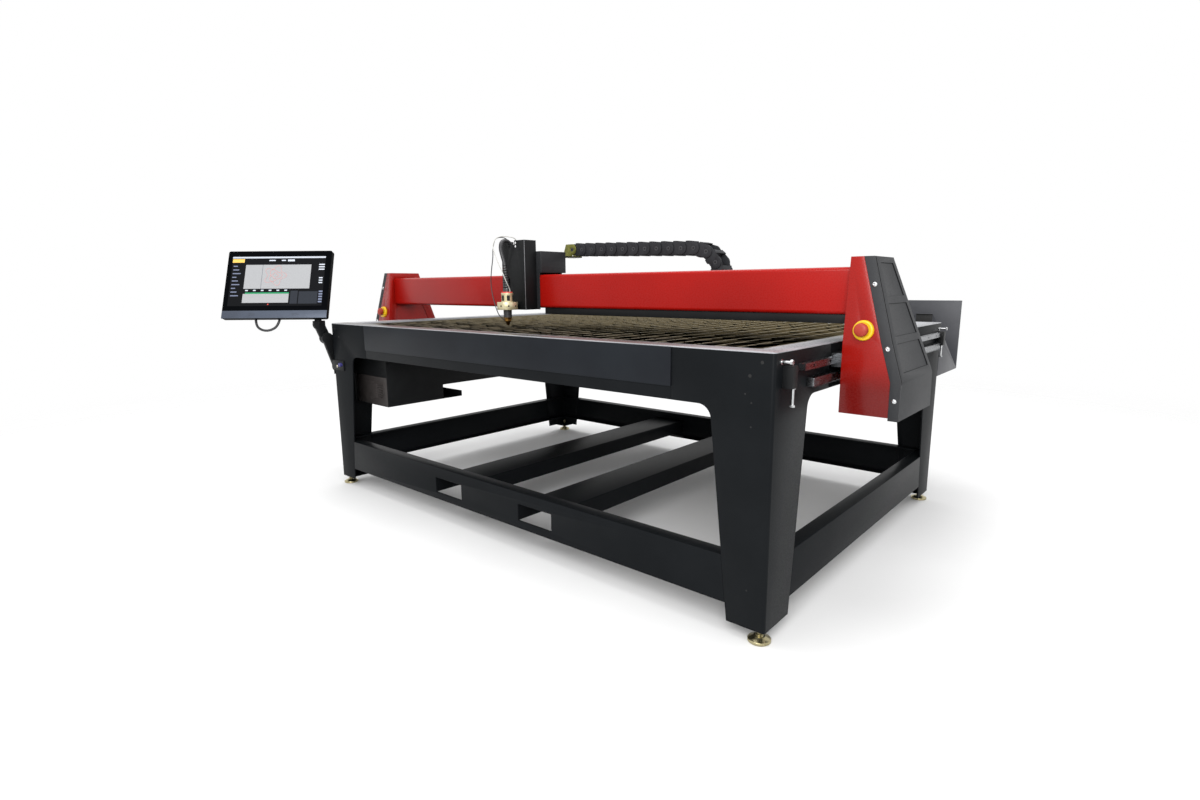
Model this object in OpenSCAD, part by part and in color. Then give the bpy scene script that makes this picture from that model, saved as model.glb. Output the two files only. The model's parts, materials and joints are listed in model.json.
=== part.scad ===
// Gantry plasma cutting table: folded sheet frame, slat bed, travelling
// bridge with torch lifter, cable chain and an operator screen on an arm.
// Origin on the floor under the middle of the table, front towards -Y.

/* [Table] */
// Width of the table over its legs
frame_w = 2440; // [2200:10:2700]
// Depth of the table over its legs
frame_d = 1690; // [1600:10:1900]
// Height of the table top above the floor
top_h = 845; // [800:5:900]
// Height of the leg ends above the floor
foot_h = 41; // [36:1:55]
// Thickness of the folded frame sheet
sheet_t = 6; // [4:0.5:8]
// Width of the bright rim round the bed
rim_w = 80; // [70:1:95]
// Thickness of the rim sheet
rim_t = 3; // [2:0.5:4]

/* [Legs] */
// Width of a leg at the floor, seen from the front
leg_foot_w = 123; // [110:1:140]
// Depth of a leg at the floor, seen from the side
leg_foot_d = 154; // [140:1:170]
// Width of a leg where it meets the top band
leg_knee_w = 196; // [180:1:215]
// Depth of a leg where it meets the side rail
leg_knee_d = 225; // [205:1:245]
// Width of the leg head up to the apron seam
head_w = 330; // [300:2:360]
// Depth of the leg head along the side
head_d = 374; // [350:2:400]
// Radius of the rounded corner under the top
knee_r = 44; // [25:1:55]

/* [Top frame] */
// Depth of the front band below the table top
band_drop = 161; // [150:1:175]
// Depth of the side rails below the table top
side_drop = 140; // [130:1:150]
// Height of the removable front apron
apron_h = 120; // [100:1:130]
// Thickness of the apron
apron_t = 4; // [2:0.5:6]

/* [Base frame] */
// Height of the base beams above the floor
low_z = 96; // [85:1:110]
// Height of the base beams
low_h = 147; // [135:1:160]
// Width of the base beam flanges
low_flange = 53; // [45:1:65]
// Half distance between the fork pockets
fork_in = 180; // [160:2:220]
// Width of a fork pocket
fork_w = 182; // [160:2:200]
// Height of a fork pocket
fork_h = 67; // [60:1:80]

/* [Bed] */
// Distance between neighbouring slats
slat_pitch = 76; // [70:1:85]
// Thickness of a slat
slat_t = 5; // [3:0.5:6]
// Height of a slat
slat_h = 75; // [65:1:85]
// Depth of the slat edges below the table top
slat_drop = 7; // [4:1:12]

/* [Guides] */
// Size of the square guide rail
guide_s = 20; // [16:1:25]
// Depth of the guide rail below the table top
guide_drop = 61; // [55:1:66]
// Height of the gear rack
rack_h = 28; // [22:1:32]
// Thickness of the gear rack
rack_t = 22; // [18:1:26]
// Depth of the rack's lower edge below the table top
rack_drop = 116; // [112:1:122]

/* [Bridge] */
// Distance of the bridge from the table's front
bridge_in = 356; // [330:2:400]
// Gap between the table side and an end housing
house_gap = 41; // [38:1:46]
// Height of the end housings above the table top
house_up = 256; // [245:1:270]
// Depth of the end housings below the table top
house_down = 209; // [200:1:220]
// Width of an end housing at its top
house_top_w = 38; // [34:1:44]
// Width of an end housing at its base
house_base_w = 143; // [135:1:155]
// Depth of an end housing at its base
house_base_d = 343; // [330:1:360]
// Depth of an end housing at its top
house_top_d = 176; // [165:1:185]
// Thickness of a moulded end cover
cover_t = 29; // [26:1:34]
// Height of the bridge beam
beam_h = 142; // [130:1:150]
// Depth of the bridge beam
beam_d = 120; // [110:1:125]
// Height of the beam's underside above the table top
beam_up = 85; // [82:1:95]

/* [Cable chain] */
// Distance between the chain's pins
chain_p = 60; // [56:1:62]
// Height of a chain link
chain_h = 58; // [54:1:60]
// Width of a chain link
chain_w = 70; // [60:1:74]
// Number of links in the straight upper run
chain_up_n = 11; // [8:1:12]
// Number of links round the bend
chain_bend_n = 6; // [6:1:7]
// Number of links lying in the tray
chain_low_n = 9; // [6:1:10]

/* [Torch lifter] */
// Place of the torch along the bridge
torch_x = -155; // [-300:5:100]
// Width of the lifter housing
lift_w = 148; // [130:1:160]
// Depth of the lifter housing
lift_d = 68; // [62:1:68]
// Height of the lifter housing
lift_h = 296; // [280:1:310]
// Diameter of the torch barrel
torch_d = 36; // [32:1:40]
// Diameter of the torch holder's flange
holder_d = 89; // [80:1:100]
// Height of the torch tip above the table top
tip_up = 13; // [8:1:20]

/* [Screen] */
// Width of the operator screen
mon_w = 530; // [480:5:560]
// Height of the operator screen
mon_h = 363; // [340:1:380]
// Thickness of the operator screen
mon_t = 25; // [20:1:28]
// Turn of the screen from straight ahead
mon_yaw = 41; // [30:1:50]
// Lean of the screen
mon_tilt = 22.5; // [15:0.5:25]

/* [Hidden] */
$fn = 48;

// Overrun of every cut, running clearance of shafts, gap of sliding faces
over = 5;
run = 0.05;
slip = 0.5;

// Finishes
black = "#1c1d20";
rim_grey = "#b9bcc0";
red = "#b5201b";
cover_grey = "#4b4c4e";
steel = "#8d8f92";
zinc = "#c9c7bf";
brass = "#b48a4a";
cream = "#d8cfae";
yellow = "#e8c11c";
olive = "#7c7a3a";

// Table lines
hw = frame_w / 2;
yf = -frame_d / 2;
rail_top = top_h - rim_t;
band_z = top_h - band_drop;
side_z = top_h - side_drop;
seam = 0.5;
fold_r = 10;

// Feet
foot_in = 28;
stud_d = 16;
pad_d = 68;
pad_h = 10;
pad_cone_h = 8;
pad_cone_d = 34;
stud_up = 22;
nut_af = 24;
nut_h = 10;
foot_plate = 90;

// Top rails and rim lip
rail_flange = 50;
rail_foot = 92;
lip_h = 20;

// Bed
pan_t = 3;
pan_side = 70;
pan_end = 66;
pan_top = 6;
comb_t = 8;
comb_slot = 27;
comb_in = 105;
slat_in = 88;
slat_gap = 1;
pan_x = hw - pan_side;
pan_y = frame_d / 2 - pan_end;
pan_z = band_z + sheet_t;
slat_top = top_h - slat_drop;
slat_n = 2 * floor((hw - rim_w - slat_t) / slat_pitch + 0.5);
slat_y = frame_d / 2 - slat_in;

// Base beams and fork pockets
low_top = low_z + low_h;
fork_z = 128;
leg_lean = (leg_knee_w - leg_foot_w) / (band_z - foot_h);
leg_side_lean = (leg_knee_d - leg_foot_d) / (side_z - foot_h);

// Guides, stops
guide_z = top_h - guide_drop;
guide_in = 147;
guide_out = 90;
guide_hole = 120;
guide_hole_d = 9;
guide_waist = 3;
guide_groove_shares = [0.4, 0.6, 0.8];
rack_z = top_h - rack_drop;
rack_in = 206;
stop_in = 45;
stop_t = 30;
stop_w = 30;
stop_rise = 16;
stop_z = rack_z + stop_rise;
stop_h = 62;
bump_d = 24;
bump_h = 12;
bolt_d = 8;
bolt_l = 27;
bolt_af = 13;
bolt_h = 6;
bolt_in = 36;
bolt_up = 11;
adjust_l = 46;
adjust_in = 8;
washer_t = 2;

// Rear cable tray
tray_w = 360;
tray_d = 370;
tray_t = 3;
tray_drop = 250;
tray_up = 91;
tray_flange = 120;
tray_tab = 75;
win_w = 78;
win_h = 44;
win_in = 152;
win_drop = 70;
win_lip = 12;

// Controls under the left end
box_w = 297;
box_d = 330;
box_h = 145;
box_in = 30;
box_y = 100;
shelf_drop = 415;
shelf_z = top_h - shelf_drop;
shelf_d = 450;
wall_drop = 397;
shelf_lip = 30;
vent_n = 6;
vent_w = 60;
vent_h = 4;
vent_pitch = 12;
vent_in = 40;
vent_deep = 4;

// Screen arm, pivots given from the table's front left corner
arm_t = 18;
arm_w = 58;
arm_pin = 16;
arm_gap = 2;
washer_d = 28;
waist_share = 0.84;
arm_y1 = 29;
arm_y2 = -17;
arm_y3 = -45;
arm_drop1 = 225;
arm_drop2 = 77;
arm_up3 = 13;
arm_out = 42;
knuckle_d = 34;
knuckle_h = 40;
bracket_w = 60;
bracket_h = 74;
knob_d = 18;
knob_h = 14;
knob_x = 97;
knob_up = 18;
tab_w = 116;
tab_down = 12;
tab_up = 38;
bar_d = 18;
bar_drop = 60;
bar_joint_share = 1.2;

// Screen, placed from the table's front left corner
mon_out = 198;
mon_fwd = 165;
mon_up = 198;
mon_r = 9;
glass_t = 2;
bezel = 6;
chin_h = 42;
hump_w = 220;
hump_h = 230;
hump_t = 11;
hump_down = 15;
vesa_s = 100;
vesa_t = 8;
tilt_off = 70;
tilt_d = 24;
tilt_w = 36;
lug_t = 9;
lug_gap = 0.5;
tilt_pin = 12;
cable_d = 12;
cable_fn = 10;

// Bridge
gy = yf + bridge_in;
gx = hw + house_gap;
house_t = 4;
frame_band = 42;
frame_proud = 4;
recess_up = -20;
house_z0 = top_h - house_down;
house_z1 = top_h + house_up;
house_lean = 28;
lean_z = top_h;
rear_knee_d = 334;
rear_knee_drop = 90;
rear_knee_z = top_h - rear_knee_drop;
kink_drop = 105;
kink_z = top_h - kink_drop;
cover_wall = 6;
cover_drop = 8;
panel_deep = 3;
panel_rim = 26;
panel_front = 46;
panel_shares = [[0.07, 0.3], [0.36, 0.62], [0.68, 0.95]];
groove_in = 9;
groove_w = 5;
screw_d = 15;
screw_h = 5;
screw_hex = 6;
screw_top_share = 0.6;
screw_rise_shares = [0.11, 0.43, 0.825];

beam_y = 44;
beam_r = 12;
beam_t = 5;
beam_z = top_h + beam_up;

// Tray under and behind the beam
chain_y = 304;
chain_seat = 0.3;
ctray_t = 3;
ctray_back = 12;
ctray_lip = 60;
ctray_in = 6;
ctray_hang = 50;
ctray_start = 85;

// Guide trucks and drives
truck_l = 80;
truck_z = 11;
truck_in = 6;
truck_front = 12;
truck_rear = 254;
fit = 0.3;
pinion_r = 20;
pinion_n = 20;
pinion_w = 16;
tooth_h = 4;
tooth_shares = [0, 0.22, 0.42, 0.8];
shaft_d = 14;
shaft_hole = 20;
drive_y = 172;
gear_s = 60;
gear_l = 42;
motor_s = 56;
motor_l = 72;
motor_r = 6;

// Emergency stop buttons
stop_up = 42;
stop_x = 58;
ring_d = 60;
ring_h = 10;
ring_top_share = 0.92;
head_dia = 40;
head_h = 12;
dome_h = 6;
dome_d = 30;
stem_d = 12;
stem_gap = 6;
stem_in = 14;

// Cross guides and carriage
xrail_s = 15;
xrail_in = 16;
xrack_h = 15;
xrack_up = 80;
plate_y = 193;
plate_t = 10;
plate_w = 140;
plate_down = 8;
saddle_h = 92;
saddle_out = 30;
saddle_lip = 18;
saddle_gap = 8;
saddle_t = 3;
xtruck_l = 44;
xtruck_h = 30;
xtruck_x = 42;
xpin_r = 16;
xpin_w = 12;
xtooth_h = 3.2;
xshaft_d = 10;
xmotor_s = 56;
xmotor_l = 48;

// Lifter and torch
lift_left = 95;
lift_front = 28;
lift_up = 77;
lift_t = 3;
slot_x = -60;
slot_w = 30;
slot_down = 6;
slot_h = 135;
notch_w = 62;
notch_x = 22;
notch_h = 18;
hole_d = 11;
hole_places = [[53, 27], [90, 10.5], [90, 25]];
zrail_w = 30;
zrail_t = 12;
zmotor_s = 52;
zmotor_l = 66;
zmotor_top = 62;
torch_y = -86;
collar_d = 52;
collar_h = 44;
flange_h = 32;
holder_up = 79;
hold_back = 20;
arm_width = 26;
arm_height = 26;
slide_w = 60;
slide_h = 60;
slide_t = 20;
ring_red_h = 5;
ring_red_share = 0.9;
nozzle_h = 32;
cap_d = 32;
tip_d = 12;
nozzle_shares = [[0.5, 0], [0.7, 0.3]];
sleeve_rise_shares = [0.55, 0.8, 0.85];

// Chain details
link_t = 3;
link_gap = 0.4;
link_end = 25;
link_bar = 9;
link_web = 10;
link_lap = 1;
link_bar_t = 3.5;
link_stud = 12;
cheek_share = 0.35;
chain_in = 51;
chain_x = torch_x + chain_in;
chain_up = 321;
chain_rise = 21;
chain_top = top_h + chain_up;
bend_drop = chain_p / sin(90 / chain_bend_n);
chain_low = chain_top - bend_drop;
up_a = asin(chain_rise / (chain_up_n * chain_p));
chain_start = chain_top + chain_rise;
bend_x = chain_x + chain_up_n * chain_p * cos(up_a);
ctray_z = chain_low - chain_h / 2 - chain_seat - ctray_t;

// Torch lead with its ribbed boot and thin wires, from the middle of the collar's top;
// the screen's cable loop, in the screen's own frame
lead_d = 16;
boot_d = 32;
boot_rib = 4;
boot_n = 12;
lead_pts = [[0, 0, 0], [0, 0, 12], [-11, 0, 112], [-23, 0, 150], [-35, 2, 180], [-43, 12, 204],
    [-48, 30, 216], [-51, 55, 216], [-52, 75, 202], [-52, 87, 178], [-52, 89, 157]];
wire_d = 4;
wire_fn = 8;
wire_pts = [[19, 0, 0], [20, -3, 12], [27, -25, 40], [15, -35, 80], [-10, -35, 120], [-35, -33, 160],
    [-57, -21, 195], [-67, 5, 226], [-61, 35, 236], [-38, 75, 232], [-34, 95, 215], [-34, 101, 190]];
ohmic_pts = [[-16, 0, -120], [-28, 0, -119], [-57, -3, -97], [-77, -5, -55], [-95, -5, 0],
    [-99, -5, 50], [-91, -5, 100], [-81, -5, 145], [-81, -1, 190], [-83, 15, 225], [-83, 45, 234],
    [-81, 75, 228], [-81, 91, 205], [-81, 95, 180]];
cable_pts = [[-106, 32, -130], [-106, 32, -150], [-105, 32, -185], [-93, 32, -215], [-71, 32, -231],
    [-46, 32, -236], [-21, 32, -231], [1, 32, -215], [13, 32, -185], [14, 32, -150], [14, 32, -130]];

// Plain shapes
module slab(a, b) {
    translate(a) cube(b - a);
}

// Outline in X and Z drawn out along Y
module along_y(y0, y1) {
    translate([0, y1, 0]) rotate([90, 0, 0]) linear_extrude(y1 - y0) children();
}

// Outline in Y and Z drawn out along X
module along_x(x0, x1) {
    translate([x0, 0, 0]) rotate([90, 0, 90]) linear_extrude(x1 - x0) children();
}

module round_box(w, h, r) {
    square([w, h - 2 * r], center = true);
    square([w - 2 * r, h], center = true);
    for (sx = [-1, 1], sy = [-1, 1])
        translate([sx * (w / 2 - r), sy * (h / 2 - r)]) circle(r);
}

module left_and_right() {
    children();
    mirror([1, 0, 0]) children();
}

module front_and_rear() {
    children();
    mirror([0, 1, 0]) children();
}

module rod(a, b, d) {
    v = b - a;
    translate(a) rotate([0, acos(v[2] / norm(v)), atan2(v[1], v[0])]) cylinder(h = norm(v), d = d);
}

// Flat link with round ends between two points of an outline
module link_plan(p, q, w) {
    v = q - p;
    translate(p) circle(d = w);
    translate(q) circle(d = w);
    translate(p) rotate(atan2(v[1], v[0])) translate([0, -w * waist_share / 2])
        square([norm(v), w * waist_share]);
}

function unit(v) = v / norm(v);

// Arc of radius r that rounds corner k between the points p and q
function fillet(k, p, q, r, n = 8) =
    let (a = unit(p - k), b = unit(q - k), phi = acos(a * b), t = r / tan(phi / 2))
    let (c = k + unit(a + b) * r / sin(phi / 2))
    let (s = atan2((k + a * t - c)[1], (k + a * t - c)[0]))
    let (e = atan2((k + b * t - c)[1], (k + b * t - c)[0]))
    let (turn = (e - s + 540) % 360 - 180)
    [for (i = [0:n]) c + r * [cos(s + turn * i / n), sin(s + turn * i / n)]];

// Tube swept along points, one radius for each point
function tangent(p, i) = unit(p[min(i + 1, len(p) - 1)] - p[max(i - 1, 0)]);
function side_of(t) = unit(cross(t, abs(t[0]) < 0.8 ? [1, 0, 0] : [0, 1, 0]));
function carried(p, i) = i == 0 ? side_of(tangent(p, 0))
    : let (t = tangent(p, i), u = carried(p, i - 1)) unit(u - t * (u * t));
module sweep(p, r, n) {
    pts = [for (i = [0:len(p) - 1])
        let (t = tangent(p, i), u = carried(p, i), v = cross(t, u))
        for (k = [0:n - 1]) p[i] + r[i] * (u * cos(360 * k / n) + v * sin(360 * k / n))];
    last = (len(p) - 1) * n;
    faces = concat([[for (k = [0:n - 1]) k]], [[for (k = [n - 1:-1:0]) last + k]],
        [for (i = [0:len(p) - 2], k = [0:n - 1]) let (m = (k + 1) % n)
            each [[i * n + k, (i + 1) * n + k, i * n + m],
                [i * n + m, (i + 1) * n + k, (i + 1) * n + m]]]);
    polyhedron(pts, faces);
}

// Frame: the leg head, knee and foot outlines
leg_front_pts = concat([[hw - leg_foot_w, foot_h], [hw, foot_h], [hw, rail_top],
    [hw - head_w, rail_top], [hw - head_w, band_z]],
    fillet([hw - leg_knee_w, band_z], [hw - head_w, band_z], [hw - leg_foot_w, foot_h], knee_r));
leg_side_pts = concat([[yf, foot_h], [yf + leg_foot_d, foot_h]],
    fillet([yf + leg_knee_d, side_z], [yf + leg_foot_d, foot_h], [yf + head_d, side_z], knee_r),
    [[yf + head_d, side_z], [yf + head_d, rail_top], [yf, rail_top]]);

// Plan of the front right quarter, with the fold between front and side plates
fold_pts = concat([[0, 0], [0, yf]], fillet([hw, yf], [0, yf], [hw, 0], fold_r), [[hw, 0]]);

module leg() {
    difference() {
        intersection() {
            union() {
                along_y(yf, yf + sheet_t) polygon(leg_front_pts);
                along_x(hw - sheet_t, hw) polygon(leg_side_pts);
                slab([hw - foot_plate, yf, foot_h], [hw, yf + foot_plate, foot_h + sheet_t]);
            }
            linear_extrude(top_h) polygon(fold_pts);
        }
        translate([hw - foot_in, yf + foot_in, foot_h - over])
            cylinder(h = sheet_t + 2 * over, d = stud_d + 2 * run);
    }
}

module front_legs() {
    color(black) left_and_right() leg();
}

module rear_legs() {
    color(black) mirror([0, 1, 0]) left_and_right() leg();
}

module foot() {
    cylinder(h = pad_h, d = pad_d);
    translate([0, 0, pad_h]) cylinder(h = pad_cone_h, d1 = pad_d, d2 = pad_cone_d);
    cylinder(h = foot_h + sheet_t + stud_up, d = stud_d);
}

module foot_front_left() {
    color(zinc) translate([foot_in - hw, yf + foot_in, 0]) foot();
}

module foot_front_right() {
    color(zinc) translate([hw - foot_in, yf + foot_in, 0]) foot();
}

module foot_rear_left() {
    color(zinc) translate([foot_in - hw, -yf - foot_in, 0]) foot();
}

module foot_rear_right() {
    color(zinc) translate([hw - foot_in, -yf - foot_in, 0]) foot();
}

// Channel with a narrow top flange and a wide foot flange, web at y = 0
module channel_plan(z0, z1, top, foot, t) {
    polygon([[0, z0], [foot, z0], [foot, z0 + t], [t, z0 + t], [t, z1 - t], [top, z1 - t],
        [top, z1], [0, z1]]);
}

module long_rails() {
    x = hw - head_w - seam;
    color(black) front_and_rear() translate([0, yf, 0])
        along_x(-x, x) channel_plan(band_z, rail_top, rail_flange, rail_foot, sheet_t);
}

module side_rails() {
    y = frame_d / 2 - head_d;
    color(black) left_and_right() translate([hw, 0, 0]) mirror([1, 0, 0])
        along_y(-y, y) channel_plan(side_z, rail_top, rail_flange, rail_flange, sheet_t);
}

module front_apron() {
    x = hw - head_w - seam;
    color(black) slab([-x, yf - apron_t, top_h - apron_h], [x, yf, rail_top]);
}

rim_pts = concat(fillet([-hw, yf], [-hw, -yf], [hw, yf], fold_r),
    fillet([hw, yf], [-hw, yf], [hw, -yf], fold_r), fillet([hw, -yf], [hw, yf], [-hw, -yf], fold_r),
    fillet([-hw, -yf], [hw, -yf], [-hw, yf], fold_r));

module top_rim() {
    ix = hw - rim_w;
    iy = frame_d / 2 - rim_w;
    color(rim_grey) difference() {
        union() {
            translate([0, 0, rail_top]) linear_extrude(rim_t) polygon(rim_pts);
            slab([-ix - rim_t, -iy - rim_t, rail_top - lip_h], [ix + rim_t, iy + rim_t, top_h]);
        }
        slab([-ix, -iy, rail_top - lip_h - over], [ix, iy, top_h + over]);
    }
}

// Base beam whose web ends follow the leaning edge of the legs
module base_beam(half, end0, end1) {
    along_y(0, sheet_t)
        polygon([[-half + end0, low_z], [half - end0, low_z], [half - end1, low_top],
            [-half + end1, low_top]]);
    for (z = [low_z, low_top - sheet_t]) {
        slab([-half + end1, 0, z], [half - end1, low_flange, z + sheet_t]);
        slab([-half + sheet_t, sheet_t, z], [half - sheet_t, low_flange, z + sheet_t]);
    }
}

function leg_w(z) = leg_foot_w + leg_lean * (z - foot_h) + seam;
function leg_d(z) = leg_foot_d + leg_side_lean * (z - foot_h) + seam;

module lower_long() {
    color(black) front_and_rear() translate([0, yf, 0]) difference() {
        base_beam(hw, leg_w(low_z), leg_w(low_top));
        left_and_right()
            slab([fork_in, -over, fork_z], [fork_in + fork_w, sheet_t + over, fork_z + fork_h]);
    }
}

module side_beam() {
    half = frame_d / 2;
    along_y(0, sheet_t)
        polygon([[-half + leg_d(low_z), low_z], [half - leg_d(low_z), low_z],
            [half - leg_d(low_top), low_top], [-half + leg_d(low_top), low_top]]);
    for (z = [low_z, low_top - sheet_t]) {
        slab([-half + leg_d(low_top), 0, z], [half - leg_d(low_top), low_flange, z + sheet_t]);
        slab([-half + low_flange, sheet_t, z], [half - low_flange, low_flange, z + sheet_t]);
    }
}

module lower_sides() {
    color(black) left_and_right() translate([hw, 0, 0]) rotate([0, 0, 90]) side_beam();
}

module fork_channels() {
    y = frame_d / 2 - sheet_t;
    z0 = low_z + sheet_t;
    z1 = low_top - sheet_t;
    x0 = fork_in - sheet_t;
    x1 = fork_in + fork_w + sheet_t;
    color(black) left_and_right() difference() {
        slab([x0, -y, z0], [x1, y, z1]);
        slab([fork_in, -y - over, z0 - over], [fork_in + fork_w, y + over, z1 - sheet_t]);
    }
}

module drain_pan() {
    color(steel) difference() {
        slab([-pan_x, -pan_y, pan_z], [pan_x, pan_y, rail_top - pan_top]);
        slab([pan_t - pan_x, pan_t - pan_y, pan_z + pan_t],
            [pan_x - pan_t, pan_y - pan_t, top_h + over]);
    }
}

function slat_x(i) = (i - (slat_n - 1) / 2) * slat_pitch;

module comb_bar() {
    x = pan_x - pan_t - slip;
    slat_z = slat_top - slat_h;
    along_y(0, comb_t) difference() {
        translate([-x, pan_z + pan_t]) square([2 * x, slat_z + comb_slot - pan_z - pan_t]);
        for (i = [0:slat_n - 1])
            translate([slat_x(i) - (slat_t + slat_gap) / 2, slat_z])
                square([slat_t + slat_gap, comb_slot + over]);
    }
}

module slat_combs() {
    color(steel) {
        for (y = [yf + comb_in, -comb_t / 2, -yf - comb_in - comb_t]) translate([0, y, 0]) comb_bar();
    }
}

module slats() {
    color("#5c5344") for (i = [0:slat_n - 1])
        slab([slat_x(i) - slat_t / 2, -slat_y, slat_top - slat_h],
            [slat_x(i) + slat_t / 2, slat_y, slat_top]);
}

module guide_rails() {
    g = guide_s;
    w = guide_waist;
    x = guide_s * guide_groove_shares;
    color(steel) left_and_right() difference() {
        along_y(yf + guide_in, -yf - guide_out) translate([hw, guide_z])
            polygon([[0, 0], [x[0], 0], [x[1], w], [x[2], 0], [g, 0], [g, g], [x[2], g],
                [x[1], g - w], [x[0], g], [0, g]]);
        for (y = [yf + guide_in + guide_hole / 2:guide_hole:-yf - guide_out - guide_hole / 4])
            translate([hw + g / 2, y, guide_z + g / 2]) rotate([0, 90, 0])
                cylinder(h = g, d = guide_hole_d);
    }
}

module gear_racks() {
    color(steel) left_and_right()
        slab([hw, yf + rack_in, rack_z], [hw + rack_t, -yf - guide_out, rack_z + rack_h]);
}

module hard_stops() {
    zb = guide_z + guide_s / 2;
    color(black) left_and_right() front_and_rear() {
        slab([hw, yf + stop_in, stop_z], [hw + stop_w, yf + stop_in + stop_t, stop_z + stop_h]);
        translate([hw + stop_w / 2, yf + stop_in + stop_t, zb]) rotate([-90, 0, 0])
            cylinder(h = bump_h, d = bump_d);
    }
}

module hex_nut() {
    difference() {
        cylinder(h = nut_h, d = nut_af / cos(30), $fn = 6);
        translate([0, 0, -over]) cylinder(h = nut_h + 2 * over, d = stud_d + 2 * run);
    }
}

module hex_bolt(l) {
    cylinder(h = washer_t, d = bolt_af / cos(30));
    cylinder(h = l, d = bolt_d);
    translate([0, 0, l]) cylinder(h = bolt_h, d = bolt_af / cos(30), $fn = 6);
}

// Bolts of the end stops and lock nuts of the feet
module frame_bolts() {
    color(zinc) left_and_right() front_and_rear() {
        translate([hw, yf + bolt_in, stop_z + stop_h + bolt_up]) rotate([0, 90, 0]) hex_bolt(bolt_l);
        translate([hw + stop_w - adjust_in, yf + stop_in + stop_t - adjust_in, stop_z])
            rotate([180, 0, 0]) hex_bolt(adjust_l);
        translate([hw - foot_in, yf + foot_in, foot_h - nut_h]) hex_nut();
    }
}

// Folded tray behind the right rear corner, with a window for the leads
module rear_tray() {
    x1 = hw;
    x0 = hw - tray_w;
    y0 = -yf;
    y1 = -yf + tray_d;
    z0 = top_h - tray_drop;
    z1 = top_h + tray_up;
    wz = z1 - win_drop - win_h;
    color(cover_grey) difference() {
        union() {
            slab([x0, y0, z0], [x1, y1, z0 + tray_t]);
            slab([x0, y1 - tray_t, z0], [x1, y1, z1]);
            slab([x0, y0, z0], [x1, y0 + tray_t, z0 + tray_flange]);
            for (x = [x0, x1 - tray_t]) along_x(x, x + tray_t)
                polygon([[y0, z0], [y1, z0], [y1, z0 + tray_t], [y0 + tray_tab, rail_top - tray_tab],
                    [y0, rail_top - tray_tab]]);
            for (z = [wz - tray_t, wz + win_h])
                slab([x0 + win_in, y1 - win_lip, z], [x0 + win_in + win_w, y1, z + tray_t]);
        }
        slab([x0 + win_in, y1 - win_lip - over, wz], [x0 + win_in + win_w, y1 + over, wz + win_h]);
    }
}

module control_box() {
    x0 = -hw + box_in;
    y0 = yf + box_y;
    z0 = shelf_z + tray_t;
    color(black) difference() {
        slab([x0, y0, z0], [x0 + box_w, y0 + box_d, z0 + box_h]);
        for (i = [0:vent_n - 1])
            translate([x0 + box_w - vent_in - vent_w, y0 - over, z0 + vent_in + i * vent_pitch])
                cube([vent_w, vent_deep + over, vent_h]);
    }
}

// Hung shelf: floor, wall along the table side, plates beside and above the box
module control_shelf() {
    x0 = -hw + sheet_t;
    x1 = -hw + box_in + box_w + slip;
    y0 = yf + box_y;
    y1 = y0 + shelf_d;
    color(black) {
        slab([x0, y0, shelf_z], [x1 + tray_t, y1, shelf_z + tray_t]);
        slab([x0, y0, shelf_z], [x0 + tray_t, y1, side_z]);
        slab([x0, y1, top_h - wall_drop], [x0 + tray_t, -yf - box_y, side_z]);
        slab([x0, y1 - tray_t, shelf_z], [x1 + tray_t, y1, shelf_z + shelf_lip]);
        slab([x1, y0, shelf_z], [x1 + tray_t, y0 + box_d, pan_z]);
        slab([x0, y0, shelf_z + tray_t + box_h + slip], [x1 + tray_t, y0 + tray_t, pan_z]);
    }
}

// Screen arm: pivots in the table's frame
arm_x = -hw - sheet_t;
p1 = [yf + arm_y1, top_h - arm_drop1];
p2 = [yf + arm_y2, top_h - arm_drop2];
p3 = [-hw - arm_out, yf + arm_y3, top_h + arm_up3];

module arm_bracket() {
    color(black) {
        slab([arm_x, p1[0] - bracket_w / 2, p1[1] - bracket_h / 2],
            [-hw, p1[0] + bracket_w / 2, p1[1] + bracket_h / 2]);
        along_x(arm_x - 2 * arm_gap - arm_t, arm_x) translate(p1) circle(d = arm_pin);
        along_x(arm_x - arm_gap, arm_x) translate(p1) circle(d = washer_d);
        slab([arm_x, yf - sheet_t, p1[1] - tab_down], [arm_x + tab_w, yf, p1[1] + tab_up]);
        translate([arm_x + knob_x, yf - sheet_t, p1[1] + knob_up]) rotate([90, 0, 0])
            cylinder(h = knob_h, d = knob_d);
    }
}

module arm_lower() {
    x1 = arm_x - arm_gap - run;
    x0 = x1 - arm_t;
    color(black) {
        along_x(x0, x1) difference() {
            link_plan(p1, p2, arm_w);
            translate(p1) circle(d = arm_pin + 2 * run);
        }
        along_x(x0 - arm_gap - arm_t, x0) translate(p2) circle(d = arm_pin);
        along_x(x0 - arm_gap / 2, x0) translate(p2) circle(d = washer_d);
    }
}

module arm_upper() {
    x1 = arm_x - arm_gap - run - arm_t - arm_gap / 2 - run;
    x0 = x1 - arm_t;
    top = [p3[1], p3[2] - arm_t];
    color(black) {
        difference() {
            union() {
                along_x(x0, x1) link_plan(p2, top, arm_w);
                translate([p3[0], p3[1], p3[2] - arm_t]) cylinder(h = arm_t, d = knuckle_d);
                slab([p3[0], p3[1] - arm_w / 2, p3[2] - arm_t], [x1, p3[1] + arm_w / 2, p3[2]]);
            }
            along_x(x0 - over, x1 + over) translate(p2) circle(d = arm_pin + 2 * run);
            slab([x0 - over, p3[1] - arm_w, p3[2]], [x1 + over, p3[1] + arm_w, p3[2] + arm_w]);
        }
        translate(p3 - [0, 0, arm_t]) cylinder(h = knuckle_h + arm_t, d = arm_pin);
    }
}

// Frame of the screen: X to its right, -Y out of its face, origin in mid face
mon_c = [-hw - mon_out, yf - mon_fwd, top_h + mon_up];
module in_monitor() {
    translate(mon_c) rotate([-mon_tilt, 0, mon_yaw]) children();
}

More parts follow.
